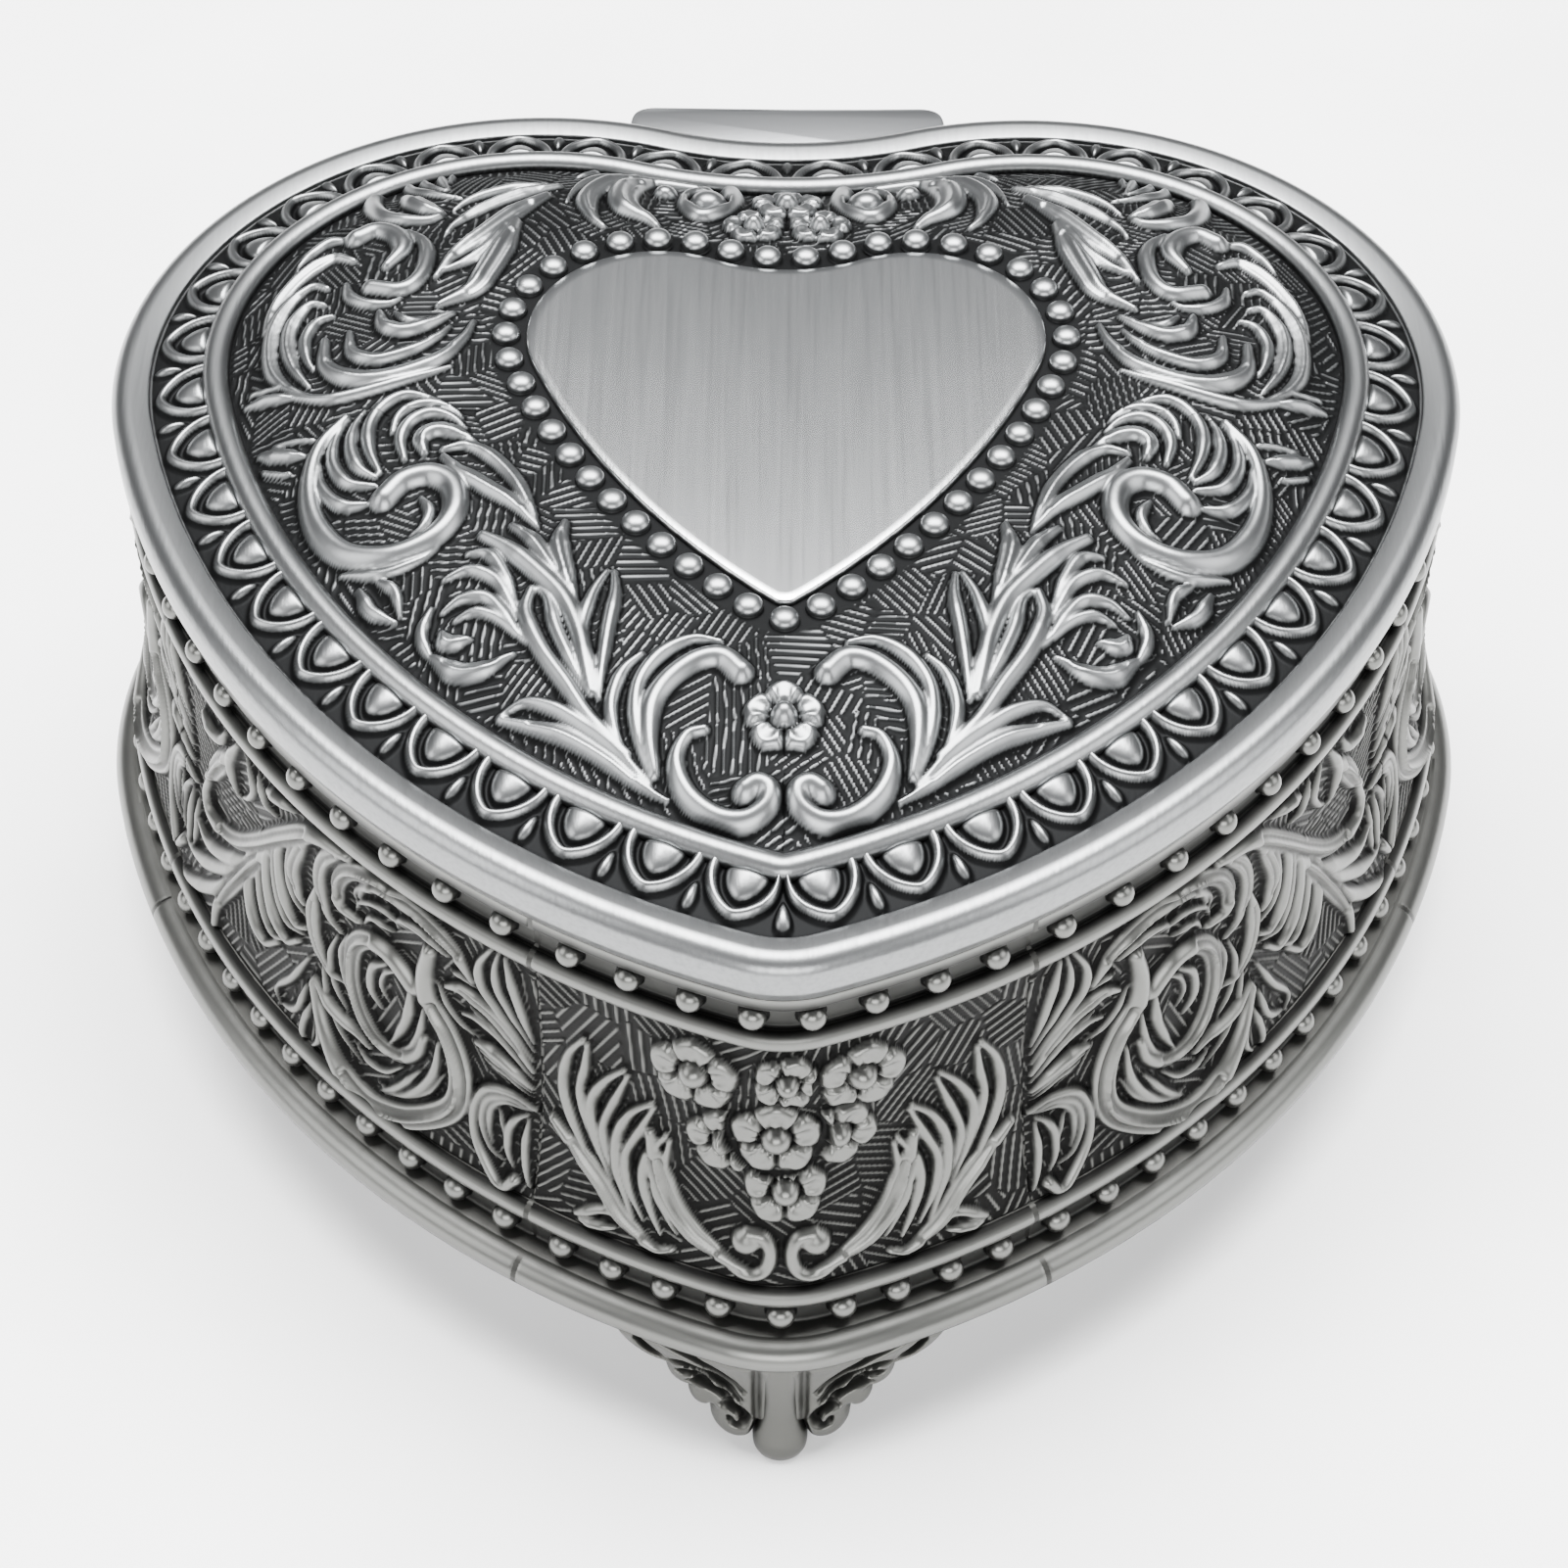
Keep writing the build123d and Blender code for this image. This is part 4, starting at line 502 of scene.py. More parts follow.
# ---- drawing of the ornament ------------------------------------------------------------
LID_STROKES = [
    # small scroll in the lobe's upper end
    (0.85, "stem", (-29.5, 38.5), (-31.5, 36), (-31.8, 33), (-30.8, 30.2), (-29.3, 28.9), (-27.3, 28.4),
     (-26.3, 28.9)),
    (0.95, "leaf", (-29.3, 32.9), (-27.8, 30.8), (-26, 29.3)),
    (0.55, "leaf", (-29.8, 38), (-29.2, 35.5), (-28.2, 33.9), (-26.5, 32.6), (-24.8, 31.9)),
    (0.5, "leaf", (-28.8, 38.5), (-28.2, 36.4), (-27.3, 34.8), (-26.2, 33.8)),
    (0.5, "leaf", (-27.6, 40), (-27, 37.5), (-26.4, 35.2), (-26, 34)),
    (0.4, "leaf", (-26.4, 39.6), (-26, 37.2), (-26, 35.5)),
    # two long leaves beside it
    (0.6, "leaf", (-18.5, 33.8), (-21.5, 32.9), (-24, 31.4), (-25.3, 29.9)),
    (0.7, "leaf", (-17.4, 33.7), (-20.2, 32.1), (-23, 29.8), (-25, 27.6), (-25.6, 26.4)),
    (0.95, "leaf", (-18.3, 31.8), (-20.8, 28.6), (-22.9, 25.6), (-24.9, 23), (-26, 20.6)),
    (0.7, "leaf", (-20.8, 28), (-21.7, 25), (-23.2, 22.8), (-25.6, 21.2)),
    (1.1, "leaf", (-20.4, 27.5), (-21.3, 24), (-22.3, 21), (-23.2, 19), (-25.6, 17.3)),
    # big upper scroll
    (0.8, "leaf", (-29.9, 16.8), (-29.4, 15.2), (-27.8, 14.5), (-26, 15.3), (-24.4, 16.5)),
    (0.4, "leaf", (-28.8, 16.8), (-27.8, 15.7), (-26.3, 15.5), (-25, 15.8)),
    (0.7, "leaf", (-32, 15), (-31.6, 12.8), (-29.8, 11.7), (-27.3, 12.3), (-25.4, 13.8), (-24.6, 15)),
    (0.9, "leaf", (-33.8, 14.5), (-33.5, 11.8), (-31.5, 10), (-28.5, 9.7), (-25.5, 11), (-23.6, 13.5),
     (-22.9, 15.5)),
    (0.6, "leaf", (-36, 9.3), (-33, 8.2), (-29.5, 8.6), (-26, 9.6), (-24.2, 10.6)),
    (0.6, "leaf", (-33.4, 17.2), (-34.6, 16.7), (-35.3, 15), (-35, 13), (-34.4, 11.6)),
    (0.7, "leaf", (-34.2, 18.7), (-35.3, 19), (-36.4, 17.2), (-36.6, 14.8), (-35.8, 12), (-34.6, 10)),
    (0.7, "leaf", (-34.1, 20.7), (-35.3, 21.3), (-36.7, 20), (-37.7, 17.7), (-38, 15.5), (-37.6, 12.6),
     (-36.3, 10.4), (-34.6, 9), (-33.2, 8.7)),
    (0.8, "leaf", (-32.4, 23.8), (-34, 24.6), (-36, 23.2), (-37.5, 21), (-38.3, 19), (-38.6, 17)),
    (0.65, "leaf", (-33, 26.8), (-34.6, 27.2), (-36, 26), (-36.8, 24.8)),
    (0.75, "hook", (-28.5, 26.9), (-27.2, 25.2), (-26.8, 23), (-27.2, 20.6), (-28.5, 19.2), (-30.8, 19.9)),
    (0.6, "leaf", (-32.7, 20.9), (-32.3, 19.2), (-31, 18), (-29.4, 17.7), (-28.4, 18.3)),
    (0.95, "hook", (-29.8, 22.5), (-28.8, 24.5), (-29.4, 26.5), (-31, 27.6), (-32.5, 26.9)),
    # buds between the scrolls
    (0.6, "leaf", (-39.3, 9.8), (-37.5, 9.6), (-35.3, 9)),
    (0.3, "even", (-39, 10.9), (-37, 10.6)),
    (0.7, "leaf", (-37.8, 4.6), (-36.2, 3.9), (-34.2, 3.1)),
    (0.3, "even", (-36.8, 5), (-35, 4.8), (-33.8, 4.5)),
    (0.3, "even", (-37.5, 3), (-36, 2.2), (-35.5, 2.1)),
    # lower scroll
    (0.5, "leaf", (-31, -8), (-28, -8.9), (-25.3, -8.3), (-24, -7.4)),
    (0.6, "leaf", (-29.2, -2.6), (-31.3, -2.2), (-32.9, -0.2), (-33.2, 2.2)),
    (0.6, "leaf", (-28.9, -1), (-31, -0.3), (-32.2, 1.8), (-32.2, 4), (-31.4, 5.8)),
    (0.6, "leaf", (-29, -0.2), (-30.3, 1), (-31, 3), (-30.9, 5), (-30.2, 6.6)),
    (0.6, "leaf", (-28.7, 0.2), (-29.6, 2.5), (-29.8, 4.8), (-29, 6.6), (-27.4, 7.6), (-25.5, 7.1),
     (-24.5, 6.5)),
    (0.5, "leaf", (-28.1, 4), (-27.7, 5.5), (-26.5, 6.4), (-25, 6.4), (-23.6, 5.6), (-23, 4.8)),
    (0.6, "leaf", (-27, 1.2), (-27.4, 3.2), (-26.8, 4.8), (-25.4, 5.5), (-23.9, 5), (-22.7, 3.8)),
    (0.8, "leaf", (-25.6, 1.6), (-25.9, 3), (-24.9, 3.7), (-23.4, 3.3), (-21.9, 2.2)),
    (1.0, "hook", (-31.6, 5.9), (-33.4, 3.5), (-33.9, 0), (-33, -3.6), (-30.8, -6.5), (-27.6, -7.6),
     (-24.7, -6.7), (-23.2, -4.5), (-23.4, -2), (-25, -0.7), (-27, -1), (-28.3, -2.4)),
    (0.5, "leaf", (-25.6, -2.6), (-24.9, -4), (-25.3, -5.4), (-26.2, -6)),
    # leaf to its right and the bud under it
    (0.7, "leaf", (-24.3, 1.7), (-22.5, 1.9), (-20.8, 0.8), (-19, -1.6), (-17.7, -4.6), (-17.2, -6.4)),
    (0.8, "leaf", (-24.2, 1), (-22.9, -0.7), (-21, -2.3), (-19, -4), (-17.4, -6.2)),
    (0.6, "leaf", (-29.6, -9.6), (-28.6, -11.6), (-26.8, -12.9)),
    (0.5, "leaf", (-28.3, -9.3), (-27, -10.5), (-26.5, -12.6)),
    # feather curl
    (0.6, "leaf", (-22, -8.3), (-20.5, -8.6), (-19.3, -10.6), (-18.3, -13.2)),
    (0.6, "leaf", (-23.5, -10.3), (-21.8, -9.8), (-20, -10.8), (-18.9, -12.8), (-18, -14.7)),
    (0.6, "leaf", (-23.5, -13), (-22.3, -12.2), (-20.6, -12.3), (-19.4, -13.6), (-18.2, -15.6),
     (-17.5, -16.6)),
    (0.5, "leaf", (-22.6, -13.8), (-21.2, -13.4), (-19.6, -14.2), (-18.4, -15.8)),
    (0.7, "leaf", (-23.5, -14.6), (-23, -15.5), (-21.4, -15.5)),
    (0.8, "leaf", (-24, -16.3), (-22.3, -17.8), (-20.3, -18), (-18.4, -17.2)),
    (0.55, "leaf", (-24.3, -12.5), (-24.9, -14.5), (-24, -16.6)),
    # stems and fronds beside the tip
    (0.8, "stem", (-21, -6.8), (-19, -8.4), (-17, -10.6), (-15.2, -13), (-14, -16), (-13.4, -19),
     (-13, -21)),
    (0.7, "leaf", (-19, -6.1), (-17.5, -7.6), (-16.2, -9.8), (-14.9, -12.2)),
    (0.8, "leaf", (-15.3, -6), (-15.6, -8), (-15, -11), (-14.2, -13.5)),
    (0.6, "leaf", (-17, -12), (-16.2, -13), (-15.6, -15.4), (-14.6, -18), (-13.4, -20.8)),
    (0.7, "stem", (-17.4, -12), (-17.7, -14), (-16.6, -17), (-14.8, -20), (-13, -23), (-10.4, -25.8)),
    (0.6, "leaf", (-12.2, -10.8), (-13.2, -13), (-13.8, -16), (-13, -19), (-12.5, -21.6)),
    (0.6, "leaf", (-11.7, -10.9), (-11.6, -13), (-12, -16), (-12.3, -19), (-12.4, -21.5)),
    (0.6, "leaf", (-19.3, -21.6), (-17.5, -21), (-15.5, -21.8), (-13.4, -23.4), (-11, -25.6),
     (-8.5, -28.6)),
    (0.7, "leaf", (-19.2, -21.8), (-17.4, -22.6), (-14.8, -23.8), (-12, -25.8), (-9.5, -28), (-7.7, -29.2)),
    (0.6, "leaf", (-9.6, -18.2), (-10.9, -19.6), (-11.6, -21.8), (-11.4, -23.8), (-10.5, -25.8)),
    (0.65, "leaf", (-4.3, -17.6), (-6.2, -17.3), (-8.3, -18.4), (-9.7, -20.4), (-10, -22.8),
     (-9.6, -25.4), (-8.8, -27.8)),
    (0.9, "hook", (-8.6, -27.4), (-9, -25), (-8.9, -22.6), (-7.9, -20.7), (-6, -19.2), (-4.2, -19),
     (-2.9, -20.3)),
    # scroll at the tip
    (0.85, "hook", (-5.3, -24.6), (-6.5, -25), (-7.2, -26.8), (-6.5, -29), (-4.6, -30.7), (-2.6, -31.2),
     (-1.2, -30.5), (-1, -29.4), (-1.8, -28.9), (-2.6, -29.3)),
    # leaves and hook above the plate
    (1.0, "leaf", (-11, 37.5), (-13.8, 34.5), (-15.2, 31.5), (-14.7, 28.6), (-13.8, 27.2)),
    (1.25, "leaf", (-10.5, 36), (-12.3, 33.5), (-12.3, 30.5), (-10.5, 28.6), (-9.8, 27.6)),
    (0.5, "leaf", (-12, 38), (-14.5, 36), (-16, 33.5), (-16.8, 31)),
    (0.4, "leaf", (-14.5, 38), (-16.3, 36)),
    (0.7, "even", (-11, 36.5), (-9, 36), (-7, 35.6)),
    (0.85, "hook", (-10, 37.8), (-7, 38), (-4.8, 36.5), (-4.1, 33.5), (-4.8, 30.8), (-6.4, 29.4),
     (-7.5, 31), (-7.3, 33.3), (-6.3, 34.3)),
]
LID_BALLS = [(-6.0, 32.0, 1.5, 1.5), (-9.3, 33.5, 1.0, 1.2)]
LID_FLOWERS = [(-2.5, 27.8, 2.6, 100), (2.5, 27.8, 2.6, 80), (0.0, 32.0, 3.0, 90), (0.0, -24.0, 3.0, 90)]

FRONT_STROKES = [
    (0.55, "leaf", (-15, 36.3), (-16.3, 34), (-16.8, 31), (-16.2, 28.5), (-15, 26.2), (-13.9, 24.5)),
    (0.5, "leaf", (-14.7, 36), (-15, 33.5), (-15.4, 31), (-14.8, 28.3), (-14, 26)),
    (0.55, "leaf", (-11.9, 34.9), (-13.3, 33.2), (-14.4, 31), (-14.5, 29), (-13.8, 26.6), (-12.6, 24.3)),
    (0.5, "leaf", (-11.6, 34.5), (-12.5, 32), (-13.5, 29), (-13.3, 27), (-12.4, 24.5)),
    (0.55, "leaf", (-9.8, 32.7), (-11.4, 31), (-12.4, 28.5), (-12.4, 26), (-11.6, 23.8), (-10.5, 21.6)),
    (0.5, "leaf", (-9.6, 32.4), (-10.8, 29.5), (-11.7, 27), (-11.3, 24.5), (-10, 22)),
    (0.55, "leaf", (-8.7, 30.2), (-9.9, 28), (-10.3, 25.8), (-9.6, 23.5), (-8.6, 21.5)),
    (0.5, "leaf", (-8.4, 29.8), (-8.8, 27.5), (-9.3, 25.5), (-8.4, 23.5), (-7.4, 22)),
    (0.9, "leaf", (-17.6, 27.4), (-15.5, 25.8), (-13.5, 24), (-11.5, 21.8), (-9, 20.5), (-7.6, 20.8)),
    (1.0, "leaf", (-9.9, 30), (-9.4, 28), (-8.3, 25.2), (-6.3, 22.9), (-3.7, 21.6), (-1.9, 21.1)),
    (0.55, "hook", (-4.4, 21.6), (-2.4, 20.9), (-1.1, 21.3), (-0.7, 22.7), (-1.2, 24), (-2.3, 24.2)),
    (0.5, "leaf", (-15.2, 20.4), (-13, 21.8), (-11.5, 21.5)),
    (0.5, "leaf", (-14.8, 20.2), (-12, 20.6)),
]
FRONT_FLOWERS = [
    (-6.5, 37.4, 3.6, 90), (0.4, 38.4, 2.9, 70), (5.9, 37.6, 3.5, 80), (4.2, 32.6, 3.2, 60),
    (-4.2, 31.7, 3.2, 100), (0.3, 28.2, 3.4, 90), (-0.4, 33.0, 3.8, 90),
]
FRONT_BALLS = [(-2.4, 23.5, 1.15, 1.15)]
SIDE_STROKES = [
    (0.6, "leaf", (-22.3, 40.7), (-23.5, 38.5), (-23.4, 36.6), (-22, 35), (-20.5, 33.4), (-19.3, 31.5)),
    (0.6, "leaf", (-21.2, 40.5), (-20.6, 38), (-19.9, 35.6), (-19.2, 33.3)),
    (0.9, "leaf", (-26.8, 34.2), (-25.2, 35), (-23, 34.6), (-21, 33), (-19.3, 30.5)),
    (0.8, "leaf", (-24.3, 30.4), (-22.8, 30.6), (-21, 30), (-19.3, 28.9)),
    (0.4, "leaf", (-23.7, 29.3), (-21.5, 29), (-19.5, 28)),
    (0.6, "hook", (-18.8, 27.2), (-21, 27.6), (-23.2, 26.8), (-24.2, 24.8), (-24, 22.6), (-22.8, 20.8),
     (-21.2, 19.6), (-20.2, 20.6)),
    (0.5, "leaf", (-19.8, 26.8), (-21.6, 26.6), (-22.7, 25.4), (-22.8, 23.6), (-22.4, 22.3)),
    (0.5, "leaf", (-19.6, 26), (-19.7, 23.5), (-19.2, 21), (-18.6, 20.3)),
    (0.45, "leaf", (-18.4, 26), (-18.3, 23), (-18.6, 21)),
    (1.0, "stem", (-29.5, 40), (-33, 40.1), (-36, 38.6), (-37.6, 36.3), (-37.4, 34.4), (-35.6, 34.2)),
    (0.5, "leaf", (-26.5, 37.2), (-28.8, 38), (-31, 37.6), (-31.4, 36.4)),
    (1.0, "leaf", (-24.2, 36.5), (-25.8, 38.4), (-28.5, 39.6), (-31.5, 39.6), (-34.2, 38.4), (-35.2, 36.8)),
    (0.9, "leaf", (-35.8, 40.5), (-38.6, 38), (-39.8, 35), (-39.4, 32), (-38, 31)),
    (0.9, "leaf", (-40.5, 33.5), (-41.2, 31), (-41, 28.5), (-39.4, 26.6), (-37.6, 26.6)),
    (0.8, "leaf", (-41, 24.5), (-38.5, 23.6), (-36, 23.4), (-34.5, 22.8)),
    (0.5, "leaf", (-29.5, 24.2), (-31.2, 21.8), (-33, 20.2)),
    (0.6, "leaf", (-27.9, 27.8), (-28.2, 24.8), (-30, 22), (-32.5, 20.3)),
    (1.3, "stem", (-28.2, 36.6), (-28.8, 34), (-28.6, 31.8), (-27, 29.8), (-25.9, 27.5), (-25.6, 25),
     (-26.3, 23), (-28.5, 21), (-31, 19.6), (-34, 18.9), (-37, 19.6), (-39.5, 21.6), (-41, 24)),
    (0.5, "leaf", (-29.4, 30), (-29.6, 28), (-30.4, 26), (-31.6, 24.8)),
    (0.7, "leaf", (-30.6, 31), (-30.8, 28.5), (-31.8, 26), (-32.6, 24.6)),
    (0.6, "leaf", (-33, 31.8), (-34.4, 30.5), (-34.7, 28.4), (-33.6, 27)),
    (1.0, "hook", (-29.2, 27.5), (-29.8, 25.6), (-31.5, 24.3), (-33.8, 24.2), (-35.8, 25.6), (-36.8, 28),
     (-36.4, 31), (-34.6, 33), (-32.3, 33.5), (-30, 32)),
]
FINE_STROKES = [
    (0.42, "leaf", (-30.2, 37.2), (-33, 37.4), (-35.2, 36.2), (-36, 34.6)),
    (0.42, "leaf", (-31.8, 35.8), (-34, 35.6), (-35.2, 34)),
    (0.45, "leaf", (-37.2, 31.5), (-38, 29.2), (-37.4, 26.8), (-35.8, 25)),
    (0.45, "leaf", (-38.6, 30.2), (-39.3, 28), (-38.6, 25.6), (-36.8, 23.9)),
    (0.42, "leaf", (-40.4, 27.5), (-39.6, 24.6), (-37.8, 22.4), (-35, 21)),
    (0.42, "leaf", (-27.2, 25.4), (-28.4, 23.2), (-30.6, 21.4), (-33.4, 20.6)),
    (0.4, "leaf", (-31.2, 23.4), (-32.6, 22.2), (-34.4, 21.8), (-36.2, 22.2)),
    (0.4, "leaf", (-31.6, 32), (-33, 31), (-33.6, 29.4), (-33, 28)),
    (0.4, "leaf", (-27.8, 34), (-26.8, 32.2), (-25.4, 31.2), (-23.6, 30.9)),
    (0.4, "leaf", (-27.4, 31.6), (-26.4, 30.2), (-25, 28.4)),
    (0.38, "leaf", (-24.8, 33.4), (-23, 33), (-21.2, 31.6), (-19.8, 29.8)),
    (0.38, "leaf", (-26.4, 36), (-25, 36.2), (-23.4, 35.8)),
    (0.38, "leaf", (-22.2, 25.8), (-21.4, 23.8), (-20.8, 22)),
]
FAR_STROKES = [
    (1.0, "stem", (-36, 40), (-40, 39), (-44.1, 35.6), (-48.3, 31.6), (-51.7, 28.8), (-54.4, 27.6),
     (-57, 27.4), (-57.9, 28.6), (-57.2, 30.4)),
    (0.9, "leaf", (-42.4, 30.4), (-43, 31), (-43.3, 33), (-42.3, 35.5), (-40.8, 38)),
    (0.8, "leaf", (-42.4, 28), (-43.6, 27.6), (-44.8, 28.8), (-45.4, 31), (-45, 33.8), (-43.4, 36.4)),
    (0.8, "leaf", (-43.2, 26.2), (-44.6, 25.2), (-46.4, 26.2), (-47.4, 28.8), (-47, 32), (-45.4, 35)),
    (0.8, "leaf", (-45.8, 24), (-47.4, 22.9), (-49.2, 23.8), (-50.2, 26.2), (-49.8, 29.5), (-48, 33)),
    (0.8, "leaf", (-49.5, 28.8), (-53.4, 25.9), (-56.8, 24.4), (-59.1, 24.4), (-60.2, 25)),
    (0.8, "leaf", (-50, 27.6), (-55.4, 23.4), (-58.9, 21.7), (-61.6, 21.4)),
    (0.8, "leaf", (-50.6, 26.4), (-55.3, 21.5), (-59.2, 19.1), (-62.3, 18.4)),
    (1.1, "leaf", (-46.6, 32.2), (-49.9, 28.1), (-53.2, 23.3), (-54.6, 20.4), (-54.4, 17.9)),
    (0.7, "leaf", (-50.2, 39.5), (-51.8, 36.8), (-51.6, 34.2), (-50.9, 33.7)),
    (0.5, "leaf", (-48.9, 39.3), (-48.2, 37), (-49.2, 35.2), (-50.8, 33.9)),
    (0.5, "leaf", (-47.3, 39), (-46.5, 37), (-45, 36.5)),
    (0.7, "leaf", (-46, 38.6), (-43.5, 39.2), (-42.3, 39.3)),
    (0.8, "leaf", (-56.5, 37.6), (-54.6, 37.4), (-53, 37.8), (-52.3, 39)),
    (1.1, "leaf", (-52, 37), (-54.5, 34), (-56.5, 31.5), (-58, 30)),
    (0.5, "leaf", (-42, 25.5), (-43.6, 22.5), (-45.3, 20.3), (-44.6, 19.2)),
    (0.5, "leaf", (-42, 23), (-42.6, 20.5), (-44.4, 19.4)),
    (0.5, "leaf", (-41.2, 22), (-41.7, 19.5), (-41, 18.4)),
    (0.5, "leaf", (-40.4, 22.4), (-39.7, 20), (-40.6, 18.6)),
]


def between(first, second):
    """Leaf rib halfway between two strokes that run the same way."""
    share = np.linspace(0, 1, 6)
    middle = np.zeros((len(share), 2))
    for stroke in (first, second):
        path = spline(stroke[2:], 0.3)
        at = share * (len(path) - 1)
        middle += 0.5 * np.column_stack([np.interp(at, range(len(path)), axis) for axis in path.T])
    return (0.55, "leaf", *[tuple(p) for p in middle])


SIDE_PAIRS = ((0, 1), (2, 3), (3, 4), (5, 6), (6, 7), (9, 11))
LEAF_RIBS = [between(SIDE_STROKES[a], SIDE_STROKES[b]) for a, b in SIDE_PAIRS]
LEAF_RIBS += [between(FAR_STROKES[a], FAR_STROKES[a + 1]) for a in (1, 2, 3)]


# ---- lid --------------------------------------------------------------------------------
DOME_KNOTS = ((8.0, 4.72), (9.1, 4.8), (9.6, 5.15), (12.15, 6.5), (17.15, 7.9), (23.15, 8.8), (40.0, 8.8))
CROWN_Z = LID_Z + 8.8
PLATE_Z = LID_Z + 9.3
RING_TOP_Z = PLATE_Z + 0.5
PITCH = 0.16  # of the lid's relief
SHELL_PERIOD = 6.0
MIDDLE_Y = 6.0  # of the rings in the plate and the lid's pad


def lid_dome():
    """Ornamented dome in four pieces; its relief leaves the plate's place clear."""
    relief = Relief((-44.0, 44.0), (-36.0, 46.0), PITCH)
    for width, taper, *points in LID_STROKES:
        relief.stroke(points, width, taper)
    for x, y, radius, height in LID_BALLS:
        relief.dot(x, y, radius, height, 0.5, moat=0.15)
    relief.mirrored()
    for flower in LID_FLOWERS:
        relief.flower(*flower)
    uu, vv = np.meshgrid(relief.u, relief.v, indexing="ij")
    inset = OUTER.inset(uu, vv)
    from_plate = -PLATE.inset(uu, vv)
    clear = smooth_step(8.9, 9.3, inset) * smooth_step(2.6, 2.9, from_plate)
    height, deep = relief.finished(11)
    base = blurred(LID_Z + through(DOME_KNOTS, inset), 1.0 / PITCH)
    border = 1 - smooth_step(2.3, 2.9, from_plate)
    deep = deep * (1 - border) + border * 0.9
    deep = np.maximum(deep, 0.9 * (1 - smooth_step(9.0, 9.5, inset)))
    upper = level(uu, vv, base + height * clear)
    lower = level(uu, vv, base - 1.2)
    pieces = []
    for side, part in (("left", relief.u <= PITCH / 2), ("right", relief.u >= -PITCH / 2)):
        for end, cut in (("front", relief.v <= 6.0 + PITCH / 2), ("back", relief.v >= 6.0 - PITCH / 2)):
            mask = (inset > 8.3) & part[:, None] & cut[None, :]
            pieces.append(skin(f"lid_relief_{side}_{end}", upper, lower, mask, deep, sharp=75.0))
    return pieces


def lid_ring():
    """Rim, egg-and-dart channel and rail in one closed section, with the lip under it."""
    rim = rounded([(-3.0, LID_Z), (-0.6, LID_Z), (0.0, 46.75), (0.0, 48.45)], 0.25)[1:]
    rim += bow((0.0, 48.45), (-0.57, 49.24), (-1.57, 49.5), 12)
    rim += rounded([(-1.57, 49.5), (-2.85, 49.25), (-2.85, 48.86), (-3.0, 48.85)], 0.3, 5)[1:]
    channel = [(-3.0 - k * 3.95 / 30, 48.89 + k * 0.96 / 30) for k in range(1, 31)]
    rail = bow((-6.95, 49.85), (-7.9, 51.25), (-8.85, 50.45), 16)
    inner = [(-8.85, 49.05), (-5.2, 47.85), (-5.2, 43.55), (-4.2, 43.55), (-4.2, 45.45)]
    first = len(rim)
    last = first + len(channel)
    middle, run = OUTER.measured(-4.9)
    periods = round(run[-1] / SHELL_PERIOD)
    pieces = []
    for side, low, high in (("left", -OUTER.half, 0.0), ("right", 0.0, OUTER.half)):
        lengths = np.linspace(low, high, 941)
        phase = np.interp(np.abs(lengths), middle, run) / run[-1] * periods
        oo, zz = carried(rim + channel + rail + inner, len(lengths))
        rise, dark = egg_and_dart(phase, -oo[0, first:last])
        zz[:, first:last] += rise
        deep = np.zeros(oo.shape)
        deep[:, first:last] = dark
        deep[:, first - 3 : first] = 0.55
        deep[:, last : last + 2] = 0.5
        deep[:, -len(inner) - 2 :] = 0.6
        deep[:, -len(inner) :] = 0.3
        pieces.append(swept(f"lid_rim_{side}", lengths, oo, zz, deep, sharp=75.0))
    return pieces


def egg_and_dart(phase, inset):
    """Heights and darkness of the channel's shells, eggs and darts, patina in the hollows and painted shade
    on the lower flanks; phase counts darts from the tip.
    """
    u = ((phase - np.floor(phase) - 0.5) * SHELL_PERIOD)[:, None] * np.ones(len(inset))
    v = (6.95 - inset)[None, :] * np.ones(len(phase))[:, None]
    # shell: a pointed U open toward the rail, its bottom toward the rim
    shell = np.full(u.shape, 9.0)
    for t in np.linspace(0, math.pi / 2, 40):
        gap = np.hypot(np.abs(u) - 2.45 * math.cos(t) ** 1.35, v - 3.25 * math.sin(t))
        shell = np.minimum(shell, gap)
    rise = 0.85 * np.clip(1 - (shell / 0.46) ** 2, 0, 1) ** 0.55
    # egg: rounded triangle with its flat side at the rail
    q = (np.abs(u) / 1.6) ** 1.7 + (np.clip(v, 0, None) / 2.3) ** 2
    egg = np.clip(1 - q, 0, 1) ** 0.42 * np.clip((v + 0.1) / 0.4, 0, 1) ** 0.5
    rise = np.maximum(rise, egg)
    # dart: a drop between the shells, near the rim
    w = np.abs((phase - np.round(phase)) * SHELL_PERIOD)[:, None] * np.ones(len(inset))
    along = (v - 2.7) / 1.2
    dart = 0.7 * np.clip(1 - (w / np.clip(0.46 + 0.16 * along, 0.1, 1)) ** 2 - along**2, 0, 1) ** 0.5
    rise = blurred(np.maximum(rise, dart), 0.8)
    # Painted shade: lower places on each shell, egg and dart are darker by height; the blurred difference
    # adds patina in the hollows.
    dark = 0.97 - 0.97 * smooth_step(0.1, 0.72, rise) + 0.9 * (blurred(rise, 2.5) - rise)
    return rise, np.clip(dark, 0, 1)


def heart_plate():
    """Smooth heart, its edge rounded and its face slightly crowned, as rings of vertices."""
    around = PLATE.around(180)
    rings = []
    for o, z in ((-0.02, CROWN_Z - 0.6), (0.0, PLATE_Z - 0.35), (-0.05, PLATE_Z - 0.12), (-0.2, PLATE_Z)):
        x, y = PLATE.place(around, o)
        rings.append(level(x, y, z))
    for share in np.linspace(0.96, 0.04, 24):
        py = MIDDLE_Y + (y - MIDDLE_Y) * share
        rings.append(level(x * share, py, PLATE_Z + 0.22 * (1 - share**2)))
    deep = np.zeros((len(rings), len(around)))
    deep[:2] = 0.6
    deep[2] = 0.2
    return ring_stack("heart_plate", rings, deep, sharp=40.0)


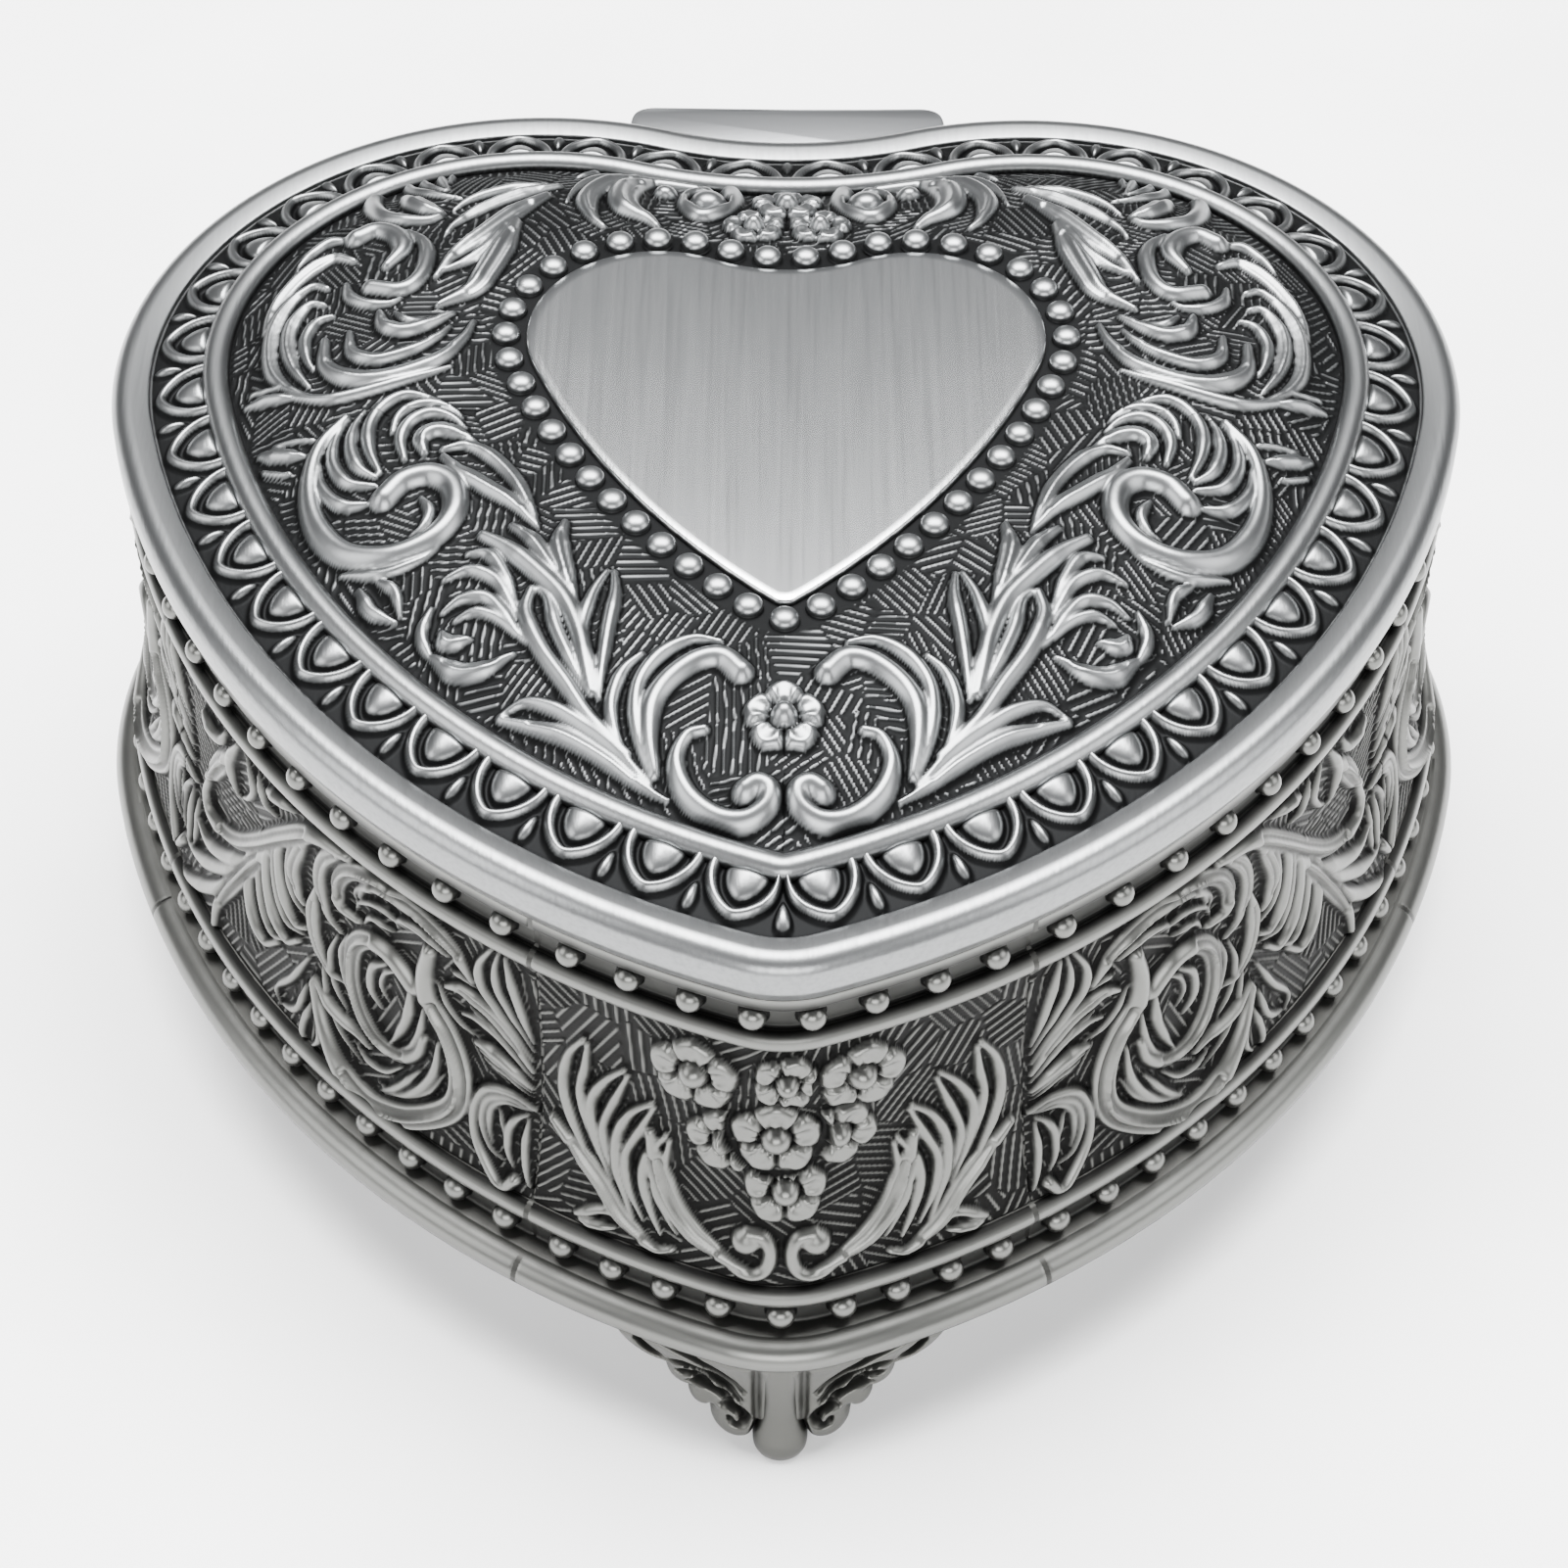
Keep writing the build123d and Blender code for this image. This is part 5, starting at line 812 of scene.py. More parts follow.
def plate_beads():
    """Even row of beads round the plate."""
    middle, run = PLATE.measured(1.45)
    count = round(2 * run[-1] / 2.85)
    at = np.arange(count) * 2 * run[-1] / count
    back = -np.interp(2 * run[-1] - at, run, middle)
    x, y = PLATE.place(np.where(at <= run[-1], np.interp(at, run, middle), back), 1.45)
    upward = np.tile((0.0, 0.0, 1.0), (count, 1))
    foot = CROWN_Z - 0.05
    return beads("lid_beads", level(x, y, foot), upward, 1.03, RING_TOP_Z - foot)


def bead_row(name, start, end, pitch, offset, z, radius, rise):
    """Beads on a wall band between two lengths."""
    count = int(math.floor((end - start) / pitch))
    lengths = start + (np.arange(count) + 0.5) * (end - start) / count
    x, y = OUTER.place(lengths, offset)
    ax, ay = OUTER.place(lengths, offset + 1.0)
    return beads(name, level(x, y, z), level(ax - x, ay - y, 0.0), radius, rise)


def prism(name, corners, low, high, edge):
    """Upright prism with rounded top and bottom edges, from plan corners already rounded."""
    corners = np.array(corners, float)
    middle = corners.mean(axis=0)
    step = corners - middle
    reach = np.hypot(*step.T)[:, None]
    soft = 0.3 * edge
    rings = []
    for inward, z in ((edge, low), (soft, low + soft), (0, low + edge), (0, high - edge),
                      (soft, high - soft), (edge, high)):
        rings.append(level(*(middle + step * (1 - inward / reach)).T, z))
    return ring_stack(name, rings, np.zeros((len(rings), len(corners))), sharp=40.0)


def tube(name, y, z, outer, bore, low, high):
    """Round bar along X with a bore and rounded ends."""
    turns = np.arange(48) * 2 * math.pi / 48
    section = [(outer - 0.2, low), (outer, low + 0.2), (outer, high - 0.2), (outer - 0.2, high),
               (bore + 0.1, high), (bore, high - 0.1), (bore, low + 0.1), (bore + 0.1, low)]
    rings = []
    for radius, x in section:
        rings.append(level(np.full(48, x), y + radius * np.cos(turns), z + radius * np.sin(turns)))
    quads = grid_quads(len(rings), 48, wrap_rows=True)[:, ::-1]
    return mesh_object(name, np.array(rings), quads, (), np.zeros((len(rings), 48)), sharp=35.0)


def lid_tab():
    """Plate behind the cleft that carries the hinge knuckle."""
    path = rounded([(0, 49.8), (12.4, 49.8), (13.0, 43.3), (0, 43.3)], 1.5, 8)
    corners = path + [(-x, y) for x, y in path[::-1][1:-1]]
    web = [(-4, 47.6), (-4, 49.8), (4, 49.8), (4, 47.6)]
    return [
        prism("lid_tab", corners[::-1], LID_Z, LID_Z + 2.7, 0.35),
        prism("lid_knuckle_web", web, 43.9, LID_Z + 0.4, 0.12),
        tube("lid_knuckle", 48.9, 43.65, 1.5, 0.86, -4.0, 4.0),
    ]


# ---- case walls -------------------------------------------------------------------------
FIELD_LOW = 16.7  # the relief's field on the walls
FIELD_HIGH = 40.05
SEAM_X = 17.2


def seam_length():
    """Length from the tip to the seam between the front and the side castings."""
    cx, _, radius, first, _, _ = OUTER.arcs[1]
    return OUTER.lengths[0] + radius * (-math.acos((SEAM_X - cx) / radius) - first)


SEAM = seam_length()


def true_height(s, z):
    """Height on the case of a drawn point; the drawn field, low to high, sinks toward the sides."""
    share = min(abs(s), 45.0) / 45.0
    low = 20.0 - 1.5 * share
    high = 41.5 - 1.2 * share
    return FIELD_LOW + (z - low) * (FIELD_HIGH - FIELD_LOW) / (high - low)


def wall_relief(low, high, strokes, gain, clear, seed, flowers=(), balls=(), mirror=False):
    """Relief of one wall casting with its heights and its darkness: patina in the hollows and painted shade
    on the lower flanks.
    """
    relief = Relief((low, high), (FIELD_LOW, FIELD_HIGH), 0.15, veined=True)
    for width, taper, *points in strokes:
        relief.stroke([(s, true_height(s, z)) for s, z in points], gain * width, taper)
    for s, z, radius, height in balls:
        relief.dot(s, true_height(s, z), radius, height, 0.5)
    if mirror:
        relief.mirrored()
    for s, z, radius, turn in flowers:
        relief.flower(s, true_height(s, z), radius, turn)
    return relief, *relief.finished(seed, 0.14, clear)


LOW_BAND = (12.6, 14.7)
TOP_BAND = (42.0, 44.15)
PROFILE_EDGES = np.array((12.5, 14.7, FIELD_LOW, FIELD_HIGH, 41.9, 44.15))


def wall_profile():
    """Outer section from the flare's foot to the field, and from the field to the mouth."""
    low, high = LOW_BAND
    below = rounded([(2.0, 10.4), (3.9, 10.4), (3.9, 10.9)], 0.2)
    below += bow((3.9, 10.9), (3.35, 11.85), (2.2, 12.2), 8)
    below += rounded([(2.2, 12.2), (1.2, 12.32), (0.9, low), (0.9, high)], 0.2)[1:]
    below += bow((0.9, high), (1.9, 15.7), (0.9, FIELD_LOW), 12)
    low, high = TOP_BAND
    above = bow((-1.3, FIELD_HIGH), (-0.35, 40.95), (-1.3, 41.85), 12)
    mouth = [(-1.3, 41.85), (-1.5, low), (-1.5, high), (-0.8, high), (-0.8, 45.25), (-1.4, 45.25)]
    return below, above + rounded(mouth, 0.15)[1:]


def field_offset(z):
    """Arc up to two thirds of the field's height, then upright."""
    arc = [(0.9, FIELD_LOW)] + bow((0.9, FIELD_LOW), (-0.75, 24.0), (-1.3, 33.5), 60)
    return np.interp(z, [p[1] for p in arc], [p[0] for p in arc])


def wall_skin(name, lengths, field_z, height, deep):
    """Closed skin on one wall casting; the relief's tables run over the same lengths and heights."""
    below, above = wall_profile()
    back = [(-1.6, 45.2), (-1.9, 41.0), (-1.9, 30.0), (-1.4, 24.0), (0.4, 17.0), (0.5, 12.6), (2.0, 10.8)]
    face = list(zip(field_offset(field_z) + 0.03, field_z))
    oo, zz = carried(below + face + above, len(lengths))
    oo += 0.03
    field = slice(len(below), len(below) + len(face))
    fade = smooth_step(0.0, 0.35, field_z - FIELD_LOW) * (1 - smooth_step(-0.35, 0.0, field_z - FIELD_HIGH))
    ends = smooth_step(0.0, 0.25, np.minimum(lengths - lengths[0], lengths[-1] - lengths))
    oo[:, field] += height * fade
    oo -= 0.12 * (1 - ends)[:, None]
    z = zz[0]
    corner = np.abs(z[:, None] - PROFILE_EDGES).min(axis=1)
    in_low = (z > LOW_BAND[0] - 0.1) & (z < LOW_BAND[1] + 0.01)
    in_top = (z > TOP_BAND[0] - 0.01) & (z < TOP_BAND[1] + 0.01)
    dark = np.where(in_low | in_top, 0.55, 0.8 * (1 - smooth_step(0.0, 0.7, corner)))
    dark = np.tile(dark, (len(lengths), 1))
    dark[:, field] = np.maximum(deep, 0.9 * (1 - fade))
    dark = np.maximum(dark, 0.9 * (1 - ends)[:, None])
    back_o, back_z = carried(back, len(lengths))
    dark = np.hstack([dark, np.full(back_o.shape, 0.5)])
    return swept(name, lengths, np.hstack([oo, back_o]), np.hstack([zz, back_z]), dark, sharp=75.0)


def walls():
    """Reliefs of the front casting and of the side castings, which mirror each other."""
    relief, height, deep = wall_relief(
        -SEAM, SEAM, FRONT_STROKES, gain=1.05, clear=0.76, seed=5,
        flowers=FRONT_FLOWERS, balls=FRONT_BALLS, mirror=True,
    )
    pieces = [wall_skin("wall_front_relief", relief.u, relief.v, height, deep)]
    seen = SIDE_STROKES + FINE_STROKES + FAR_STROKES + LEAF_RIBS
    # what the photo shows, again one repeat farther back, and mirrored to end at the cleft
    strokes = list(seen)
    for width, taper, *points in seen:
        strokes.append((width, taper, *[(s - 41.5, z + 0.25) for s, z in points]))
        strokes.append((width, taper, *[(-172.5 - s, z + 0.25) for s, z in points]))
    # clear=1.1 spreads the painted shade farther up the side walls' strokes than on the front.
    relief, height, deep = wall_relief(-OUTER.half, -SEAM, strokes, gain=0.92, clear=1.1, seed=9)
    count = len(relief.u)
    cuts = (0, count // 3, 2 * count // 3, count - 1)
    for label, a, b in zip(("back", "lobe", "side"), cuts[:-1], cuts[1:]):
        u, rise, dark = (table[a : b + 1] for table in (relief.u, height, deep))
        pieces.append(wall_skin(f"wall_left_relief_{label}", u, relief.v, rise, dark))
        pieces.append(wall_skin(f"wall_right_relief_{label}", -u[::-1], relief.v, rise[::-1], dark[::-1]))
    return pieces


# ---- feet -------------------------------------------------------------------------------
FOOT_TOP = 10.4
# start, middle and end of each bulge, from the top inward
WING_EDGE = (
    ((12.1, FOOT_TOP), (11.2, 8.3), (8.15, 7.2)),
    ((8.15, 7.2), (7.95, 5.75), (6.45, 5.3)),
    ((6.45, 5.3), (6.4, 3.95), (4.9, 4.0)),
    ((4.9, 4.0), (3.9, 1.45), (1.5, 3.0)),
)
# width and points of each groove
WING_SLITS = (
    (0.34, (10.3, 9.7), (9.5, 8.7), (8.5, 7.95)),
    (0.36, (8.6, 10.2), (7.0, 9.7), (5.4, 8.9), (3.9, 7.8), (2.7, 6.6)),
    (0.3, (8.1, 8.0), (6.8, 8.1), (5.2, 7.6), (3.8, 6.6), (2.9, 5.6)),
    (0.3, (6.6, 6.1), (5.6, 6.3), (4.4, 5.9), (3.4, 5.1)),
    (0.26, (7.4, 7.0), (6.2, 7.1), (5.0, 6.6)),
    (0.3, (4.2, 4.7), (3.7, 4.9), (2.9, 4.6), (2.5, 3.9), (2.8, 3.3), (3.4, 3.3), (3.6, 3.8)),
)
# height, half width, front and back
RIB_LEVELS = (
    (0.0, 1.0, 4.1, 2.2), (0.2, 1.45, 4.4, 2.1), (0.5, 1.75, 4.55, 2.0), (1.0, 1.95, 4.62, 1.8),
    (1.7, 2.0, 4.55, 1.5), (2.4, 1.85, 4.35, 1.2), (3.4, 1.55, 4.1, 1.2), (4.8, 1.3, 3.92, 1.2),
    (6.4, 1.22, 3.85, 1.2), (8.0, 1.35, 3.8, 1.2), (9.4, 1.6, 3.78, 1.2), (10.38, 1.85, 3.75, 1.2),
)


def scallops():
    """Edge of the right wing: a rounded bulge between each pair of notches, then up beside the rib."""
    path = [(0.0, FOOT_TOP)]
    for start, middle, end in WING_EDGE:
        path += bow(start, middle, end, 14) if path[-1] == start else [start] + bow(start, middle, end, 14)
    return np.array(path + [(0.9, 3.4), (0.0, 3.4)])


def nearest(path, u, v):
    """Distance to a closed path, the nearest place on it, and whether each point lies inside."""
    best = np.full(u.shape, FAR_OFF)
    near_u = np.zeros(u.shape)
    near_v = np.zeros(u.shape)
    inside = np.zeros(u.shape, bool)
    for (ax, ay), (bx, by) in zip(path, np.roll(path, -1, axis=0)):
        span = (bx - ax) ** 2 + (by - ay) ** 2
        if span == 0:
            continue
        t = np.clip(((u - ax) * (bx - ax) + (v - ay) * (by - ay)) / span, 0, 1)
        pu = ax + t * (bx - ax)
        pv = ay + t * (by - ay)
        gap = np.hypot(u - pu, v - pv)
        closer = gap < best
        best = np.where(closer, gap, best)
        near_u = np.where(closer, pu, near_u)
        near_v = np.where(closer, pv, near_v)
        if ay != by:
            inside ^= ((ay > v) != (by > v)) & (u < (bx - ax) * (v - ay) / (by - ay) + ax)
    return best, near_u, near_v, inside


def around_foot(centre, radius, angle, x, o):
    """Plan places at distance x along and offset o from an arc of the wall, and on past the tip's arc."""
    reach = radius + o
    turn = np.arcsin(np.clip(x / reach, -1, 1))
    px = centre[0] + reach * np.cos(angle + turn)
    py = centre[1] + reach * np.sin(angle + turn)
    side_x, side_y, side_r, tangent = OUTER.arcs[1][:4]
    flank = (radius == OUTER.arcs[0][2]) & (np.abs(x) > reach * math.cos(tangent))
    beside = side_y - np.sqrt((side_r + o) ** 2 - (np.abs(x) - side_x) ** 2)
    return np.where(flank, x, px), np.where(flank, beside, py)


def foot_wings(name, centre, radius, angle):
    """Scalloped wings on both sides of the rib, following the wall's own curve."""
    pitch = 0.1
    u = np.linspace(-12.2, 12.2, 245)
    v = np.linspace(1.6, FOOT_TOP, 89)
    uu, vv = np.meshgrid(u, v, indexing="ij")
    half = scallops()
    path = np.vstack([half, half[::-1][1:-1] * (-1, 1)])
    gap, near_u, near_v, inside = nearest(path, uu, vv)
    mask = inside | (gap < 0.6 * pitch)
    snap = mask & (gap < 0.55 * pitch)
    uu = np.where(snap, near_u, uu)
    vv = np.where(snap, near_v, vv)
    gap = np.where(snap | ~inside, 0, gap)
    base = through(((1.5, 3.85), (3.5, 3.55), (6.0, 3.3), (8.6, 3.45), (FOOT_TOP, 3.72)), vv)
    slits = Relief((u[0], u[-1]), (v[0], v[-1]), pitch)
    for width, *points in WING_SLITS:
        for sign in (-1, 1):
            places = spline([(sign * x, z) for x, z in points], pitch * 0.8)
            ease = np.interp(np.linspace(0, 1, len(places)), (0, 0.2, 0.8, 1), (0.5, 1, 1, 0.6))
            for (x, z), share in zip(places, ease):
                slits.dot(x, z, 1.5 * width * share, share, 0.8)
    slit = blurred(slits.height[: uu.shape[0], : uu.shape[1]], 0.7)
    edge = 1 - np.sqrt(np.clip(1 - (1 - np.clip(gap / 0.8, 0, 1)) ** 2, 0, 1))
    edge *= smooth_step(0.0, 0.6, FOOT_TOP - vv)
    swell = 0.35 * np.exp(-(((np.abs(uu) - 3.0) / 1.3) ** 2) - ((vv - 3.8) / 1.4) ** 2)
    beside_rib = 0.45 * np.exp(-(((np.abs(uu) - 1.7) / 0.35) ** 2))
    outer = np.maximum(base + swell - 0.85 * slit - beside_rib - 1.1 * edge, 1.5)
    deep = np.clip(0.95 * slit + 0.35 * edge + 0.8 * beside_rib, 0, 1)
    front, back = (level(*around_foot(centre, radius, angle, uu, o), vv) for o in (outer, 1.2))
    return skin(name, front, back, mask, deep, sharp=70.0)


def foot_rib(name, centre, radius, angle):
    """Upright rib, round in front and flat behind, wider at the toe."""
    levels = np.array(RIB_LEVELS)
    z = np.linspace(0, 1, 45)[:, None] ** 1.3 * 10.38
    half, front, back = (through(levels[:, (0, k)], z) for k in (1, 2, 3))
    turns = np.linspace(0, math.pi, 25)
    across = np.concatenate([np.cos(turns), [-0.9, 0.9]])
    forward = np.concatenate([np.sin(turns) ** 0.75, [-1.0, -1.0]])
    middle = front - 0.55 * half - 0.55
    o = np.where(forward >= 0, middle + (front - middle) * forward, back)
    places = level(*around_foot(centre, radius, angle, half * across, o), z)
    # Painted shade: the rib's sides and back are darkened by how far they turn from the front, fading out
    # toward the toe.
    deep = np.clip(0.75 - 0.9 * forward, 0, 0.75) * smooth_step(0.0, 2.5, z)
    return ring_stack(name, places, deep)


def foot_lug(name, centre, radius, angle):
    """Flat lug with a screw hole."""
    turns = np.arange(64) * 2 * math.pi / 64
    dx, do = np.cos(turns), np.sin(turns)
    ahead = np.where(do > 0, 6.9, 3.0)
    reach = np.minimum(3.0 / np.maximum(np.abs(dx), 1e-9), ahead / np.maximum(np.abs(do), 1e-9))
    bore = np.full(64, 0.9)
    hole_reach = radius - 5.2
    rings = []
    for away, z in ((reach - 0.08, 8.2), (reach, 8.28), (reach, 10.32), (reach - 0.08, FOOT_TOP),
                    (bore, FOOT_TOP), (bore, 8.2)):
        x = dx * away
        forward = hole_reach + do * away
        px = centre[0] + forward * math.cos(angle) - x * math.sin(angle)
        py = centre[1] + forward * math.sin(angle) + x * math.cos(angle)
        rings.append(level(px, py, z))
    quads = grid_quads(len(rings), 64, wrap_rows=True)
    return mesh_object(name, np.array(rings), quads, (), np.full((len(rings), 64), 0.2), sharp=35.0)


def feet():
    """Pieces of the three feet, each with the CAD node it replaces."""
    made = []
    for label, centre, radius, angle in (
        ("front", (0.0, -33.3), 9.0, -90.0),
        ("right", (19.0, 16.5), 31.0, 50.0),
        ("left", (-19.0, 16.5), 31.0, 130.0),
    ):
        for build, part in ((foot_wings, "wings"), (foot_rib, "rib"), (foot_lug, "lug")):
            piece = build(f"foot_{label}_{part}", centre, radius, math.radians(angle))
            made.append((piece, f"foot_{label}"))
    return made


# ---- soft lining ------------------------------------------------------------------------
TRAY_BACK = -5.8


def length_at(offset, y):
    """Length from the tip where the heart's offset line reaches y."""
    s = np.linspace(0, 110, 2201)
    return float(np.interp(y, OUTER.place(s, offset)[1], s))


def tray_loop(offset, back, sides=141, across=48):
    """Closed plan loop: round the tip from left to right, then straight across the back."""
    reach = length_at(offset, back)
    x, y = OUTER.place(np.linspace(-reach, reach, sides), offset)
    share = np.linspace(0, 1, across + 2)[1:-1]
    bx = x[-1] + (x[0] - x[-1]) * share
    return np.concatenate([x, bx]), np.concatenate([y, np.full(across, y[-1])])


def pile(x, y, size=0.05):
    """Small unevenness of a cloth face."""
    return size * (np.sin(1.7 * x + 0.8 * np.sin(0.9 * y)) + np.sin(1.3 * y + 1.1 * np.sin(0.7 * x)))


def velvet_tray():
    """Lining of the compartment: up beside the wall, over, and down to a crowned floor."""
    rings = []
    for inward, z in ((-0.35, 17.4), (-0.1, 17.5), (0.0, 17.75), (0.0, 30.0), (0.0, 42.85), (-0.12, 43.12),
                      (-0.5, 43.25), (-0.88, 43.12), (-1.0, 42.8), (-0.98, 36.0), (-0.98, 28.0),
                      (-1.0, 20.4), (-1.2, 19.6), (-1.7, 19.1)):
        rings.append(level(*tray_loop(-3.3 + inward, TRAY_BACK + inward), z))
    x, y = tray_loop(-5.0, TRAY_BACK - 1.7)
    middle_y = -19.0
    for share in np.linspace(0.95, 0.03, 22):
        px = x * share
        py = middle_y + (y - middle_y) * share
        rings.append(level(px, py, 19.05 + 0.75 * (1 - share**2) + pile(px, py) * (1 - share)))
    return ring_stack("tray_velvet", rings, sharp=70.0)


def lid_cushion():
    """Padded heart under the lid: flat against it, crowned toward the box."""
    around = OUTER.around(240)
    rings = []
    for inward, z in ((6.2, 47.65), (5.75, 47.55), (5.45, 47.2), (5.4, 46.7), (5.6, 46.15), (6.1, 45.75),
                      (7.0, 45.5)):
        x, y = OUTER.place(around, -inward)
        rings.append(level(x, y, z))
    for share in np.linspace(0.97, 0.03, 34):
        px = x * share
        py = MIDDLE_Y + (y - MIDDLE_Y) * share
        z = 45.06 + 0.44 * share**2.5 + np.abs(pile(px, py, 0.03)) * (1 - share**4)
        rings.append(level(px, py, z))
    return ring_stack("lid_cushion", rings, flipped=True, sharp=70.0)


def upper_lining():
    """Soft band on the wall behind the tray."""
    reach = length_at(-3.5, -5.4)
    right = np.linspace(reach, OUTER.half, 200)
    lengths = np.concatenate([right, -right[::-1][1:]])
    section = [(-3.1, 38.35), (-3.1, 43.0), (-3.3, 43.22), (-3.65, 43.24), (-3.95, 42.95), (-4.0, 41.0),
               (-3.97, 39.5), (-3.95, 38.4), (-3.6, 38.12), (-3.3, 38.15)]
    return swept("upper_lining", lengths, *carried(section, len(lengths)), 0.0, sharp=70.0)


def covered_partition():
    """Board between the tray and the movement, wrapped in velvet with soft edges."""
    side_x, side_y, side_r = OUTER.arcs[1][:3]
    half = side_x + math.sqrt((side_r - 3.0) ** 2 - (-5.5 - side_y) ** 2)
    x = np.linspace(-half + 0.06, half - 0.06, 121)[:, None]
    section = [(-4.3, 11.8), (-4.05, 12.0), (-4.0, 12.6), (-4.0, 24.0), (-4.0, 35.7), (-4.1, 36.1),
               (-4.4, 36.28), (-5.1, 36.28), (-5.4, 36.1), (-5.5, 35.7), (-5.5, 24.0), (-5.5, 12.6),
               (-5.45, 12.0), (-5.2, 11.8)]
    y, z = carried(section, len(x))
    y = -4.75 + (y + 4.75) * (0.6 + 0.4 * smooth_step(0.0, 0.6, half - np.abs(x)))
    return ring_stack("partition_velvet", level(np.broadcast_to(x, y.shape), y, z), sharp=70.0)


# ---- materials --------------------------------------------------------------------------
def material_nodes(name):
    """New material with its shader, and two functions that add a node and a link to it."""
    material = bpy.data.materials.new(name)
    material.use_nodes = True
    nodes = material.node_tree.nodes

    def add(kind, values=(), **settings):
        node = nodes.new("ShaderNode" + kind)
        for key, value in settings.items():
            setattr(node, key, value)
        for key, value in dict(values).items():
            node.inputs[key].default_value = value
        return node

    def join(source, output, target, socket):
        material.node_tree.links.new(source.outputs[output], target.inputs[socket])

    return material, nodes["Principled BSDF"], add, join


def pewter(name, light, dark, rough=0.34, brushed=0.0, cloudy=0.3):
    """Antique pewter: satin crests; the base colour darkens with the mesh's deep values, which hold patina in
    the recesses and painted shade on the lower flanks.
    """
    material, shader, add, join = material_nodes(name)
    shader.inputs["Metallic"].default_value = 1.0
    depth = add("Attribute", attribute_name="deep")
    place = add("TexCoord")
    cloud = add("TexNoise", {"Scale": 220.0, "Detail": 4.0})
    uneven = add("Math", {1: cloudy, 2: -cloudy / 2 + (0.1 if brushed else 0.0)}, operation="MULTIPLY_ADD")
    total = add("Math", operation="ADD", use_clamp=True)
    ramp = add("ValToRGB")
    first, last = ramp.color_ramp.elements
    first.position = 0.08
    first.color = (*light, 1)
    last.position = 0.78
    last.color = (*dark, 1)
    middle = ramp.color_ramp.elements.new(0.4)
    middle.color = (*[a * 0.42 + b * 0.58 for a, b in zip(light, dark)], 1)
    sheen = add("Math", {1: 0.3, 2: rough}, operation="MULTIPLY_ADD")
    stretch = add("Mapping", {"Scale": (3000.0, 60.0, 3000.0) if brushed else (1700.0, 1700.0, 1700.0)})
    grain = add("TexNoise", {"Scale": 1.0, "Detail": 3.0})
    bump = add("Bump", {"Strength": brushed or 0.12, "Distance": 0.00006})
    join(place, "Object", cloud, "Vector")
    join(place, "Object", stretch, "Vector")
    join(stretch, "Vector", grain, "Vector")
    join(grain if brushed else cloud, "Fac", uneven, 0)
    join(depth, "Fac", total, 0)
    join(uneven, 0, total, 1)
    join(total, 0, ramp, "Fac")
    join(ramp, "Color", shader, "Base Color")
    join(total, 0, sheen, 0)
    join(sheen, 0, shader, "Roughness")
    join(grain, "Fac", bump, "Height")
    join(bump, "Normal", shader, "Normal")
    return material


def simple(name, colour, metallic, rough, grain=900.0, strength=0.08, **inputs):
    """Plain material with a slight mottle and grain; further inputs are the shader's own."""
    material, shader, add, join = material_nodes(name)
    place = add("TexCoord")
    noise = add("TexNoise", {"Scale": grain, "Detail": 3.0})
    mix = add("Mix", data_type="RGBA")
    mix.inputs["A"].default_value = (*[c * 0.88 for c in colour], 1)
    mix.inputs["B"].default_value = (*[min(1, c * 1.1) for c in colour], 1)
    bump = add("Bump", {"Strength": strength, "Distance": 0.0001})
    for key, value in {"Metallic": metallic, "Roughness": rough, **inputs}.items():
        shader.inputs[key.replace("_", " ")].default_value = value
    join(place, "Object", noise, "Vector")
    join(noise, "Fac", mix, "Factor")
    join(mix, "Result", shader, "Base Color")
    join(noise, "Fac", bump, "Height")
    join(bump, "Normal", shader, "Normal")
    return material


LID_METAL = pewter("pewter lid", (0.2, 0.206, 0.209), (0.007, 0.0072, 0.0074))
RIM_METAL = pewter("pewter rim", (0.185, 0.19, 0.192), (0.007, 0.0072, 0.0074), 0.3, 0.25)
PLATE_METAL = pewter("pewter plate", (0.5, 0.51, 0.515), (0.008, 0.0084, 0.0086), 0.2, 0.25, 0.3)
TAB_METAL = pewter("pewter tab", (0.2, 0.205, 0.21), (0.008, 0.0084, 0.0086), 0.4, 0.0, 0.05)
# Painted shade: the case and the feet are darker copies of the lid's pewter, for walls and feet that face
# away from the top light.
SHADED_CASE_METAL = pewter("pewter case shaded", (0.113, 0.114, 0.108), (0.007, 0.007, 0.0068))
SHADED_FOOT_METAL = pewter("pewter foot", (0.069, 0.069, 0.064), (0.007, 0.007, 0.0066))
INNER_METAL = simple("pewter inside", (0.035, 0.035, 0.033), 1.0, 0.45)
VELVET = simple("velvet", (0.075, 0.004, 0.011), 0.0, 0.95, 2600.0, 0.5,
                Sheen_Weight=0.1, Sheen_Roughness=0.35, Sheen_Tint=(0.75, 0.12, 0.2, 1))
METALS = {
    "steel_plate": simple("steel plate", (0.5, 0.5, 0.51), 1.0, 0.38),
    "steel_screw": simple("steel screw", (0.6, 0.6, 0.61), 1.0, 0.3),
    "steel_bright": simple("steel bright", (0.68, 0.68, 0.69), 1.0, 0.22),
    "spring_steel": simple("spring steel", (0.16, 0.2, 0.3), 1.0, 0.3),
    "brass_bright": simple("brass", (0.76, 0.55, 0.22), 1.0, 0.26),
    "bed_cast": simple("bed casting", (0.5, 0.5, 0.51), 1.0, 0.45, 500.0, 0.25),
    "nylon_white": simple("nylon", (0.82, 0.8, 0.73), 0.0, 0.5),
    "cover_clear": simple("clear sheet", (0.96, 0.98, 0.99), 0.0, 0.02, 40.0, 0.0,
                          Transmission_Weight=1.0, IOR=1.49),
    "velvet": VELVET,
    "pewter_lid": LID_METAL,
    "pewter_case": SHADED_CASE_METAL,
    "pewter_foot": SHADED_FOOT_METAL,
}


def dress(obj, material):
    """Gives the whole object one material."""
    for slot in obj.material_slots:
        slot.material = material
    if not obj.material_slots:
        obj.data.materials.append(material)


